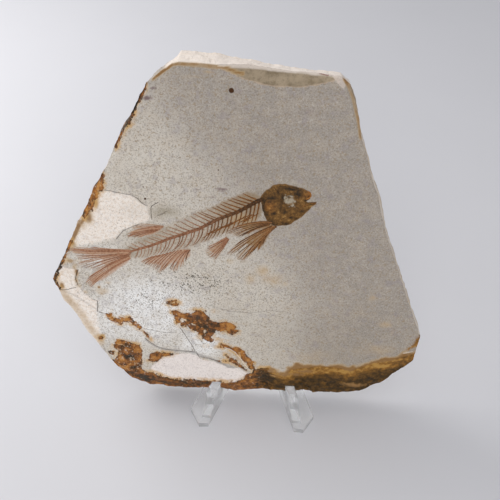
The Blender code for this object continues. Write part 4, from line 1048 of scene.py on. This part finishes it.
def most(points, places):
    """The largest of several bump_hills, each times its amount."""
    total = np.zeros(len(points))
    for x, u, wide, high, amount in places:
        total = np.maximum(total, amount * bump_hill(points, x, u, wide, high))
    return total


def near_bones(points):
    """Distance to the nearest bone, for points in the fish's box, and FAR_AWAY elsewhere."""
    left, right, low, high = FISH_BOX
    x, u = points[:, 0], points[:, 1]
    distance = np.full(len(points), FAR_AWAY)
    chosen = np.flatnonzero((x > left) & (x < right) & (u > low) & (u < high))
    close = points[chosen]
    best = np.full(len(close), FAR_AWAY)
    for path in all_spines():
        best = np.minimum(best, nearest(close, path)[0])
    distance[chosen] = best
    return distance


def slab_fields(points, zone):
    """The values on the slab's points that its finish reads."""
    x, u, n = points.T
    front = zone == FRONT

    def on_front(distance):
        """A distance on the front, and the longest one on the sides and the back."""
        return np.clip(np.where(front, distance, LONGEST), -LONGEST, LONGEST)

    inside = -within(points, OUTLINE)
    rust = rust_distance(points)
    rust = np.where(front, rust, rust + 0.8 * np.maximum(-n - 3.0, 0.0))
    rust = np.where(zone == BACK, np.maximum(rust, inside - STAIN_REACH), rust)
    wash = np.where(zone < BACK, golden_wash(points, rust), 0.25 * smooth_step(4.0, 0.0, inside))
    crack, dark = crack_and_ledge_shadow_fields(points)
    skins = np.full(len(points), FAR_AWAY)
    for outline in FIN_SKINS:
        skins = np.minimum(skins, within(points, outline))
    cream = np.minimum(within(points, LEFT_FLAKE), within(points, CORNER_CREAM))
    purple, chip = within(points, PURPLE_PATCH), within(points, WHITE_CHIP)
    marks = smooth_step(0.2, -0.2, purple) - smooth_step(0.2, -0.2, chip)
    return {
        "face": points,
        "zone": zone,
        "rust": np.clip(rust, -LONGEST, LONGEST),
        "rust_tone": rust_tone(points) + 0.3 * ((zone > FRONT) & (zone < BACK)),
        "wash": wash,
        "crack": np.clip(crack, -6.0, 6.0),
        # dark lines of cracks and of painted shadow at the feet of ledges, and pale rims
        "crack_dark": np.where(front, dark, 0.0),
        # paler to the lower left and darker to the upper right: partly the stone's own tone,
        # partly painted light and painted shade
        "light": smooth_step(56.0, -12.0, x + 0.7 * np.maximum(u - 38.0, 0.0)),
        "bluish": most(points, BLUISH_PLACES),
        "cream": on_front(cream),
        "chalk": on_front(within(points, CHALK_HOLLOW)),
        "scar": np.where(front, np.clip(scar_depth(points), 0.0, 3.0), 0.0),
        "marks": np.where(front, marks, 0.0),
        "specks": np.where(front, np.maximum(most(points, SPECK_PLACES), 0.12), 0.05),
        "inside": np.clip(inside, 0.0, LONGEST),
        "shade": np.where(front, ledge_shade(points), 0.0),
        "smudge": np.where(front, most(points, SMUDGE_PLACES), 0.0),
        "olive": np.where(front, most(points, OLIVE_PLACES), 0.0),
        "skin": on_front(skins),
        "body": on_front(within(points, BODY)),
        "near_bone": on_front(near_bones(points)),
    }


# ---------------------------------------------------------------- shader maths

class Wire:
    """An output socket of a finish. Each operator on it adds the Math node that works it out."""

    def __init__(self, finish, socket):
        self.finish = finish
        self.socket = socket

    def __add__(self, other):
        return self.finish.maths("ADD", self, other)

    def __radd__(self, other):
        return self.finish.maths("ADD", other, self)

    def __sub__(self, other):
        return self.finish.maths("SUBTRACT", self, other)

    def __rsub__(self, other):
        return self.finish.maths("SUBTRACT", other, self)

    def __mul__(self, other):
        return self.finish.maths("MULTIPLY", self, other)

    def __rmul__(self, other):
        return self.finish.maths("MULTIPLY", other, self)

    def __abs__(self):
        return self.finish.maths("ABSOLUTE", self)


class Finish:
    """A material that is being made up of nodes."""

    def __init__(self, name):
        self.material = bpy.data.materials.new(name)
        self.material.use_nodes = True
        self.nodes = self.material.node_tree.nodes
        self.links = self.material.node_tree.links
        self.nodes.clear()

    def node(self, kind, settings=None, sockets=None, output=0):
        """A node of a kind: its settings first, a ramp's stops among them, then its sockets."""
        node = self.nodes.new("ShaderNode" + kind)
        for setting, value in (settings or {}).items():
            if setting == "stops":
                self.set_stops(node.color_ramp, value)
            else:
                setattr(node, setting, value)
        for place, value in (sockets or {}).items():
            if isinstance(value, Wire):
                self.links.new(value.socket, node.inputs[place])
            else:
                node.inputs[place].default_value = value
        return Wire(self, node.outputs[output])

    def set_stops(self, ramp, stops):
        """Gives a ramp its stops, each a place and a colour."""
        while len(ramp.elements) < len(stops):
            ramp.elements.new(1.0)
        for element, (place, tint) in zip(ramp.elements, stops):
            element.position = place
            element.color = tint

    def maths(self, operation, *values):
        return self.node("Math", {"operation": operation}, dict(enumerate(values)))

    def lesser(self, first, second):
        return self.maths("MINIMUM", first, second)

    def greater(self, first, second):
        return self.maths("MAXIMUM", first, second)

    def step(self, value, low, high):
        """0 where the value is at low, 1 where it is at high, smooth between them."""
        return self.node("MapRange", {"interpolation_type": "SMOOTHSTEP"},
                         {0: value, 1: low, 2: high, 3: 0.0, 4: 1.0})

    def field(self, name):
        """A value stored on the piece's points."""
        return self.node("Attribute", {"attribute_name": name}, output="Fac")

    def place(self, name):
        """Three values stored on the piece's points."""
        return self.node("Attribute", {"attribute_name": name}, output="Vector")

    def vector(self, operation, first, second):
        return self.node("VectorMath", {"operation": operation}, {0: first, 1: second})

    def noise(self, place, size, detail=2.0, shift=0.0, roughness=0.55):
        """Noise from 0 to 1 whose largest lumps are about a size across, in mm."""
        moved = self.vector("ADD", place, (shift, 0.7 * shift, 0.3 * shift)) if shift else place
        return self.node("TexNoise", {"noise_dimensions": "3D"},
                         {"Vector": moved, "Scale": 1.0 / size, "Detail": detail,
                          "Roughness": roughness})

    def scatter(self, place, size):
        """Distance to the nearest of scattered points, about a size apart, in mm."""
        return self.node("TexVoronoi", {"voronoi_dimensions": "3D", "feature": "F1"},
                         {"Vector": place, "Scale": 1.0 / size, "Randomness": 1.0},
                         output="Distance")

    def on_object(self):
        """The place on the piece's own axes, in mm."""
        return self.vector("MULTIPLY", self.node("TexCoord", output="Object"), (1.0 / MM,) * 3)

    def ramp(self, value, stops):
        return self.node("ValToRGB", {"stops": stops}, {0: value})

    def mix(self, share, first, second):
        """The first colour where the share is 0 and the second where it is 1."""
        return self.node("Mix", {"data_type": "RGBA"}, {0: share, 6: first, 7: second}, output=2)

    def bump(self, height, distance, strength):
        return self.node("Bump", None,
                         {"Height": height, "Distance": distance, "Strength": strength})

    def surface(self, **sockets):
        """Ends the finish with a Principled shader. An underscore in a socket's word stands for a
        space."""
        named = {word.replace("_", " "): value for word, value in sockets.items()}
        shader = self.node("BsdfPrincipled", None, named)
        out = self.nodes.new("ShaderNodeOutputMaterial")
        self.links.new(shader.socket, out.inputs["Surface"])
        return self.material


def tint(red, green, blue):
    """A colour from its red, green and blue as they are on a screen, 0 to 255."""
    parts = np.array((red, green, blue)) / 255.0
    linear = np.where(parts <= 0.04045, parts / 12.92, ((parts + 0.055) / 1.055) ** 2.4)
    return (*map(float, linear), 1.0)


# ---------------------------------------------------------------- finishes

def limestone_finish():
    """Split limestone: fine grey to bluish-white stone with cream and chalky flakes, pale bedded
    sides, a tan scar, black specks, the brown tint of the fish's skin, golden washes, rust and
    cracks."""
    f = Finish("split_limestone")
    place = f.place("face")
    broad = f.noise(place, 14.0, 3.0, 11.0)
    cloud = f.noise(place, 4.0, 4.0, 23.0)
    fleck = f.noise(place, 0.9, 3.0, 37.0)
    dust = f.noise(place, 0.42, 2.0, 51.0)

    # The stone itself: paler to the lower left and darker to the upper right, partly its own tone
    # and partly painted light and shade
    light = f.step(f.field("light") + 0.5 * (broad - 0.5), 0.0, 1.0)
    stone = f.ramp(light, ((0.0, tint(157, 149, 140)), (0.22, tint(165, 157, 148)),
                           (1.0, tint(206, 199, 188))))
    stone = f.mix(f.step(f.field("bluish") + 0.3 * (cloud - 0.5), 0.1, 0.9), stone,
                  tint(238, 237, 235))
    stone = f.mix(f.step(cloud, 0.35, 0.75) * 0.35, stone, tint(190, 176, 158))
    cream = f.step(f.field("cream") + 2.0 * (fleck - 0.5) + 2.4 * (cloud - 0.5), 0.9, -0.9)
    stone = f.mix(cream * 0.85, stone, f.mix(f.step(fleck, 0.35, 0.6), tint(236, 221, 206),
                                             tint(250, 241, 232)))
    chalk = f.step(f.field("chalk") + 1.4 * (fleck - 0.5), 0.3, -0.3)
    stone = f.mix(chalk, stone, f.mix(fleck, tint(226, 215, 208), tint(242, 234, 229)))
    stone = f.mix(f.step(fleck, 0.56, 0.7) * 0.18, stone, tint(214, 208, 200))
    plain = 1.0 - 0.6 * f.greater(cream, chalk)
    stone = f.mix(f.step(dust, 0.5, 0.3) * 0.65 * plain, stone, tint(128, 118, 108))
    stone = f.mix(f.step(dust, 0.54, 0.7) * 0.16, stone, tint(226, 218, 208))
    stone = f.mix(f.step(f.noise(place, 0.7, 3.0, 57.0), 0.46, 0.3) * 0.6 * plain, stone,
                  tint(146, 126, 98))
    stone = f.mix(f.step(f.noise(place, 2.6, 4.0, 63.0), 0.54, 0.68) * 0.3 * plain, stone,
                  tint(144, 136, 142))

    # The broken side: pale beds with thin ochre lines
    zone = f.field("zone")
    side = f.step(zone, 0.0, 0.06) * f.step(zone, 1.5, 1.0)
    beds = f.noise(f.vector("MULTIPLY", place, (0.06, 0.06, 1.7)), 1.0, 3.0, roughness=0.6)
    bedded = f.ramp(beds, ((0.25, tint(160, 142, 120)), (0.36, tint(212, 198, 180)),
                           (0.47, tint(222, 212, 201)), (0.56, tint(196, 174, 144)),
                           (0.62, tint(226, 217, 207)), (0.75, tint(204, 192, 178))))
    across = f.node("SeparateXYZ", None, {0: place}, output="X")
    upward = f.node("SeparateXYZ", None, {0: place}, output="Y")
    crown = f.step(upward, 104.0, 107.0)
    bedded = f.mix(crown * (0.35 + 0.6 * cloud), bedded, tint(252, 240, 230))
    # At the upper left corner the side keeps the face's grey instead of its pale beds: painted
    # shade on that chamfer
    corner = f.step(across, -20.5, -22.5) * f.step(upward, 97.0, 101.0)
    stone = f.mix(side * (1.0 - 0.9 * corner), stone, bedded)

    # The scar at the top
    scar = f.field("scar")
    scarred = f.step(scar + 0.05 * (fleck - 0.5), 0.02, 0.1)
    tan = f.mix(f.step(cloud, 0.35, 0.65), tint(126, 110, 84), tint(160, 143, 118))
    tan = f.mix(f.step(fleck, 0.5, 0.3) * 0.5, tan, tint(110, 94, 72))
    stone = f.mix(scarred * 0.85, stone, tan)
    rim = f.step(scar, 0.02, 0.08) * f.step(scar, 0.2, 0.1)
    stone = f.mix(rim * (0.2 + 0.5 * fleck), stone, tint(196, 174, 156))
    broken = f.step(f.field("inside") + 0.9 * (cloud - 0.5), 0.7, 0.1)
    stone = f.mix(scarred * broken, stone, tint(206, 194, 182))
    marks = f.field("marks")
    stone = f.mix(f.step(marks, 0.2, 0.8), stone, tint(148, 118, 108))
    stone = f.mix(f.step(marks, -0.2, -0.8) * (0.3 + 0.6 * cloud), stone, tint(208, 194, 182))

    # Round stains, and specks of manganese
    for x, u, radius in ROUND_STAINS:
        away = f.node("VectorMath", {"operation": "DISTANCE"}, {0: place, 1: (x, u, 0.0)},
                      output="Value")
        away = away + 0.6 * radius * (fleck - 0.5)
        stone = f.mix(f.step(away, 1.2 * radius, 0.8 * radius), stone, tint(70, 44, 24))
    wanted = f.field("specks")
    scattered = f.step(f.noise(place, 2.4, 2.0, 71.0), 0.38, 0.62)
    size = 0.11 + 0.21 * wanted * (0.45 + 0.55 * scattered)
    nearby = f.lesser(f.scatter(place, 1.0), f.scatter(place, 0.55))
    speck = f.step(nearby, size + 0.05, size - 0.04)
    stone = f.mix(speck * (0.25 + 0.65 * wanted), stone, tint(80, 75, 64))

    # Grey shading below ledges, and olive, purple and brown tints near the fish
    stone = f.mix(f.field("shade") * (0.4 + 0.9 * fleck), stone, tint(136, 131, 128))
    stone = f.mix(f.step(f.field("smudge") + 0.6 * (fleck - 0.5), 0.15, 0.7), stone,
                  tint(122, 104, 102))
    stone = f.mix(f.field("olive") * (0.1 + 1.1 * fleck + 0.6 * cloud), stone, tint(128, 116, 92))
    skin = f.step(f.field("skin") + 0.9 * (fleck - 0.5), 0.45, -0.35)
    body = f.step(f.field("body") + 0.9 * (fleck - 0.5), 0.4, -0.9)
    near = f.step(f.field("near_bone"), 0.6, 0.1)
    ahead = f.step(across, -14.0, 2.0)
    stone = f.mix(body * (0.3 + 0.3 * ahead), stone, tint(138, 112, 78))
    stone = f.mix(near * (0.22 + 0.2 * ahead), stone, tint(144, 112, 76))
    stone = f.mix(skin * (0.7 + 0.1 * ahead + 0.9 * (fleck - 0.5)), stone,
                  f.mix(ahead, tint(180, 140, 112), tint(140, 108, 70)))

    # Golden washes, then rust with a crisp edge
    wash = f.field("wash") * (0.35 + 1.3 * cloud)
    stone = f.mix(f.step(wash, 0.04, 0.8) * 0.9, stone,
                  f.mix(f.step(wash, 0.25, 0.85), tint(192, 160, 112), tint(134, 96, 48)))
    edge = f.field("rust") + 2.0 * (f.noise(place, 1.5, 4.0, 91.0) - 0.5)
    edge = edge + 1.1 * (f.noise(place, 0.6, 3.0, 97.0) - 0.5)
    edge = edge + 7.0 * side * (f.noise(place, 6.0, 3.0, 151.0) - 0.5)
    calm = f.step(across, 8.0, 20.0)
    fringe = f.step(edge, 1.5, 0.0) * (1.0 - 0.9 * calm)
    stone = f.mix(fringe * f.step(cloud, 0.36, 0.62) * 0.85, stone, tint(200, 158, 98))
    lobe = f.step(across, -31.0, -33.0) * f.step(upward, 2.5, 5.0)
    bits = f.step(f.noise(place, 0.8, 3.0, 131.0) + 0.05 * lobe, 0.62, 0.7) * (1.0 - calm)
    rust = f.step(edge, 0.12, -0.12 - 0.9 * calm) * (1.0 - 0.6 * bits)
    depth = f.field("rust_tone") + (1.9 - 0.7 * calm) * (f.noise(place, 1.6, 4.0, 103.0) - 0.5)
    depth = depth + (0.8 - 0.4 * calm) * (f.noise(place, 0.5, 2.0, 107.0) - 0.5)
    depth = depth + 0.3 * f.step(edge, -0.45, 0.0) * (1.0 - calm)
    depth = depth + 1.6 * lobe * (f.noise(place, 2.6, 3.0, 141.0) - 0.5)
    rusty = f.ramp(depth - 0.08, ((0.0, tint(178, 124, 62)), (0.2, tint(154, 99, 44)),
                                  (0.42, tint(122, 74, 34)), (0.66, tint(78, 50, 26)),
                                  (0.9, tint(42, 33, 20))))
    olive = f.ramp(depth - 0.08, ((0.0, tint(176, 134, 68)), (0.2, tint(142, 99, 41)),
                                  (0.42, tint(106, 74, 30)), (0.66, tint(70, 50, 22)),
                                  (0.9, tint(38, 30, 16))))
    rusty = f.mix(f.step(across, 2.0, 16.0), rusty, olive)
    stone = f.mix(rust * 0.97, stone, rusty)

    # Cracks, painted shadow at the feet of ledges, and pale rims
    crack = abs(f.field("crack") + 0.16 * (f.noise(place, 0.7, 2.0, 113.0) - 0.5))
    line = f.field("crack_dark") * f.step(crack, 0.16, 0.04)
    dark = f.greater(line, 0.0)
    stone = f.mix(dark, stone, tint(60, 48, 36))
    stone = f.mix(f.greater(0.0 - line, 0.0), stone, tint(226, 218, 206))

    # Bed by bed and grain by grain relief
    height = 0.08 * cloud + 0.05 * fleck + 0.03 * dust - 0.12 * dark + 0.05 * rust * fleck
    height = height + 0.35 * side * beds
    return f.surface(Base_Color=stone, Roughness=0.86 - 0.26 * rust,
                     Normal=f.bump(height, MM, 0.9), Specular_IOR_Level=0.18)


def bone_finish():
    """Fossil bone: olive and golden brown at the head, red-brown towards the tail, darker in the
    middle of each bone than at its foot."""
    f = Finish("fossil_bone")
    place = f.place("face")
    lumps = f.noise(place, 0.75, 3.0, 5.0)
    pores = f.noise(place, 0.3, 2.0, 15.0)
    red = f.field("red")
    spread = 1.0 - 0.2 * red
    tone = f.field("tone") + spread * (lumps - 0.5) + 0.6 * spread * (pores - 0.5)
    head = f.ramp(tone, ((0.0, tint(158, 128, 76)), (0.25, tint(120, 88, 44)),
                         (0.5, tint(88, 64, 30)), (0.75, tint(60, 45, 22)),
                         (1.0, tint(34, 28, 16))))
    gold = f.ramp(tone, ((0.0, tint(196, 146, 84)), (0.3, tint(156, 100, 42)),
                         (0.6, tint(118, 70, 28)), (1.0, tint(62, 40, 20))))
    tail = f.ramp(tone, ((0.0, tint(188, 154, 126)), (0.25, tint(168, 122, 94)),
                         (0.5, tint(134, 90, 64)), (0.75, tint(88, 59, 38)),
                         (1.0, tint(54, 38, 24))))
    colour = f.mix(red, f.mix(f.field("warm"), head, gold), tail)
    foot = f.step(f.field("up"), 0.5, 0.0)
    colour = f.mix(foot * 0.35, colour, tint(160, 134, 106))
    stone = f.mix(lumps, tint(126, 112, 88), tint(192, 182, 164))
    colour = f.mix(f.field("bare") * f.step(lumps + 0.3 * pores, 0.44, 0.7) * 0.85, colour, stone)
    height = 0.06 * lumps + 0.04 * pores
    return f.surface(Base_Color=colour, Roughness=0.62, Normal=f.bump(height, MM, 0.8),
                     Specular_IOR_Level=0.2)


def plastic_finish():
    """Clear acrylic, clouded and scuffed by handling."""
    f = Finish("clear_acrylic")
    place = f.on_object()
    haze = f.noise(place, 9.0, 3.0)
    scuffs = f.noise(f.vector("MULTIPLY", place, (3.0, 0.6, 0.6)), 1.2, 2.0)
    roughness = 0.08 + 0.12 * f.step(haze, 0.45, 0.7) * scuffs
    return f.surface(Base_Color=(0.9, 0.905, 0.91, 1.0), Roughness=roughness, IOR=1.49,
                     Transmission_Weight=0.84, Normal=f.bump(0.1 * haze, MM, 0.2))


def floor_finish():
    """A pale satin table top."""
    f = Finish("pale_table")
    place = f.on_object()
    cloud = f.noise(place, 60.0, 3.0)
    colour = f.mix(cloud, tint(212, 211, 214), tint(216, 215, 218))
    return f.surface(Base_Color=colour, Roughness=0.5, Specular_IOR_Level=0.3)


limestone = limestone_finish()
bone = bone_finish()
plastic = plastic_finish()

# ---------------------------------------------------------------- the slab

points, corners, sizes, zone = slab_surface()
slab = new_piece("limestone_slab", on_slab(points), corners, sizes, slab_fields(points, zone),
                 smooth_angle=38.0)
slab.data.materials.append(limestone)
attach(slab, "root")
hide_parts("stone_slab")

# ---------------------------------------------------------------- the fish

def spine_set(share, paths, width, dark, random):
    """Spines from their vertebrae, widest a third of the way out and pointed at the tip."""
    t = np.linspace(0.0, 1.0, SPINE_STEPS)
    shape = np.interp(t, (0.0, 0.12, 0.35, 0.8, 1.0), (1.0, 0.85, 0.85, 0.6, 0.25))
    strength = np.interp(share, (0.0, 0.25, 0.4, 0.7, 1.0), (1.0, 0.9, 0.72, 0.62, 0.52))
    vary = strength * (1.0 + 0.12 * random.normal(size=len(share)))
    strip = bone_strips(paths, width * vary[:, None] * shape, 0.15 * vary[:, None] * shape + 0.03)
    each = SPINE_STEPS * PROFILE_POINTS
    tone = np.interp(share, (0.0, 0.2, 0.4, 0.7, 1.0), (0.56, 0.5, 0.42, 0.34, 0.28))
    tone = np.repeat(tone + dark + 0.07 * random.normal(size=len(share)), each)
    tone = tone - 0.1 * np.tile(np.repeat(t, PROFILE_POINTS), len(share))
    return with_tones(strip, tone, np.repeat(smooth_step(0.15, 0.5, share), each),
                      np.repeat(0.7 * smooth_step(0.45, 0.2, share), each))


random = np.random.default_rng(BONE_SEED)
upper = spine_set(*spine_paths(UPPER_SPINES, UPPER_TIPS, UPPER_BENDS, random), 0.27, 0.08, random)
lower = spine_set(*spine_paths(LOWER_SPINES, LOWER_TIPS, LOWER_BENDS, random), 0.27, 0.14, random)
backbone = backbone_strip()
down = np.repeat(np.linspace(0.0, 1.0, len(backbone[0]) // PROFILE_POINTS), PROFILE_POINTS)
backbone = with_tones(backbone, np.interp(down, (0.0, 0.15, 0.3, 0.5, 1.0),
                                          (0.95, 0.82, 0.66, 0.5, 0.42)),
                      smooth_step(0.1, 0.5, down), 0.6 * smooth_step(0.5, 0.1, down))
small = small_bone_paths(random)
small = bone_strips(small, np.full(small.shape[:2], 0.12), np.full(small.shape[:2], 0.09))
skeleton = bone_piece("backbone_and_spines",
                      [backbone, upper, lower, with_tones(small, 0.56, 0.1, 0.8)])
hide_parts("fish_skeleton")

fins = []
random = np.random.default_rng(BONE_SEED + 1)
for fin in FINS:
    strip = fin_strips(fin, random)
    each = RAY_STEPS * PROFILE_POINTS
    tone = 0.36 + 0.16 * np.repeat(random.normal(size=len(strip[0]) // each), each)
    golden = 1.0 if fin[0].startswith("pectoral") else 0.0
    tone -= 0.12 if fin[0].startswith("tail") else 0.0
    fins.append(with_tones(strip, tone + 0.2 * golden, 1.0 - 0.75 * golden, 0.45 * golden))
bone_piece("fin_rays", fins)

skull = plate(SKULL, SKULL_CENTRE, rim_points=200, rings=44, height=0.3, seed=3, dips=SKULL_DIPS)
flat = skull[0] * IN_PLANE
tone = 0.48 + sum(amount * bump_hill(flat, x, u, wide, high)
                  for x, u, wide, high, amount in SKULL_TONES)
bare = smooth_step(0.25, -0.35, within(flat, ORBIT) + 0.2 + 0.7 * rough(flat, 0.8, 3, 21))
bare *= 1.0 - bump_hill(flat, 15.6, 73.6, 0.45, 0.45)
warm = 0.15 + 0.4 * bump_hill(flat, 9.8, 70.1, 1.8, 1.8)
warm += 0.35 * bump_hill(flat, 21.6, 74.6, 1.6, 1.4)
head = [with_tones(skull, tone, 0.0, warm, bare)]
share = np.linspace(0.0, 1.0, HEAD_STEPS)
thin = np.interp(share, (0.0, 0.15, 0.85, 1.0), (0.4, 1.0, 1.0, 0.4))[None]
for width, tone, warm, line in HEAD_BONES:
    strip = bone_strips(along_line(line, share)[None], width * thin, 0.14 * thin, lift=HEAD_LIFT)
    head.append(with_tones(strip, tone, 0.0, warm))
bone_piece("skull", head)

# ---------------------------------------------------------------- the stand

mesh = bpy.data.meshes.new("clear_stand")
shape = bmesh.new()
shape.from_mesh(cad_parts["display_stand"].data)
bmesh.ops.remove_doubles(shape, verts=shape.verts, dist=1e-6)
bmesh.ops.recalc_face_normals(shape, faces=shape.faces)
shape.to_mesh(mesh)
shape.free()
mesh.shade_flat()
stand = add_object("clear_stand", mesh)
soften = stand.modifiers.new("softened_edges", "BEVEL")
soften.width = 0.25 * MM
soften.segments = 2
soften.limit_method = "ANGLE"
soften.angle_limit = math.radians(30.0)
stand.visible_shadow = False
mesh.materials.append(plastic)
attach(stand, "root")
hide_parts("display_stand")

# ---------------------------------------------------------------- table, light and camera

TABLE_REACH = 3.0             # from its middle to each edge, in metres
TABLE_TOP = -0.05 * MM        # just below the stand's feet, so that the two faces don't meet
table = bpy.data.meshes.new("table_top")
table.from_pydata([(-TABLE_REACH, -TABLE_REACH, TABLE_TOP), (TABLE_REACH, -TABLE_REACH, TABLE_TOP),
                   (TABLE_REACH, TABLE_REACH, TABLE_TOP), (-TABLE_REACH, TABLE_REACH, TABLE_TOP)],
                  [], [(0, 1, 2, 3)])
table.materials.append(floor_finish())
floor = add_object("table_top", table)

world = bpy.data.worlds.new("soft_room")
bpy.context.scene.world = world
world.use_nodes = True
room = world.node_tree.nodes["Background"]
room.inputs["Color"].default_value = (0.93, 0.95, 1.0, 1.0)
room.inputs["Strength"].default_value = 0.44


def window(name, at, towards, size, power, colour):
    """A square area light of a size in metres, turned to a point."""
    lamp = bpy.data.lights.new(name, "AREA")
    lamp.size = size
    lamp.energy = power
    lamp.color = colour
    holder = add_object(name, lamp)
    holder.location = at
    aim = Vector(towards) - Vector(at)
    holder.rotation_euler = aim.to_track_quat("-Z", "Y").to_euler()


window("left_light", (-0.32, 0.2, 0.3), (-0.08, 0.06, 0.0), 0.3, 1.2, (1.0, 1.0, 1.0))
window("front_light", (0.05, -0.85, 0.38), (0.0, 0.0, 0.06), 0.7, 3.3, (1.0, 0.99, 0.98))
window("upper_light", (0.15, -0.4, 0.8), (0.0, 0.0, 0.0), 0.9, 1.6, (1.0, 1.0, 1.0))

CAMERA_DOWN = math.radians(45.0)            # how far it looks down
CAMERA_TURN = math.radians(4.0)             # how far it looks to the left
CAMERA_X = 15.15
CAMERA_AHEAD = 139.705                      # in front of the slab's seat
CAMERA_Z = 219.1
camera = bpy.data.cameras.new("camera")
camera.sensor_width = 36.0
camera.lens = 50.4
camera.clip_start = 0.005
viewer = add_object("camera", camera)
viewer.rotation_euler = (math.radians(90.0) - CAMERA_DOWN, 0.0, CAMERA_TURN)
viewer.location = (CAMERA_X * MM, (SEAT_Y - CAMERA_AHEAD) * MM, CAMERA_Z * MM)
bpy.context.scene.camera = viewer
bpy.context.scene.view_settings.view_transform = "Standard"
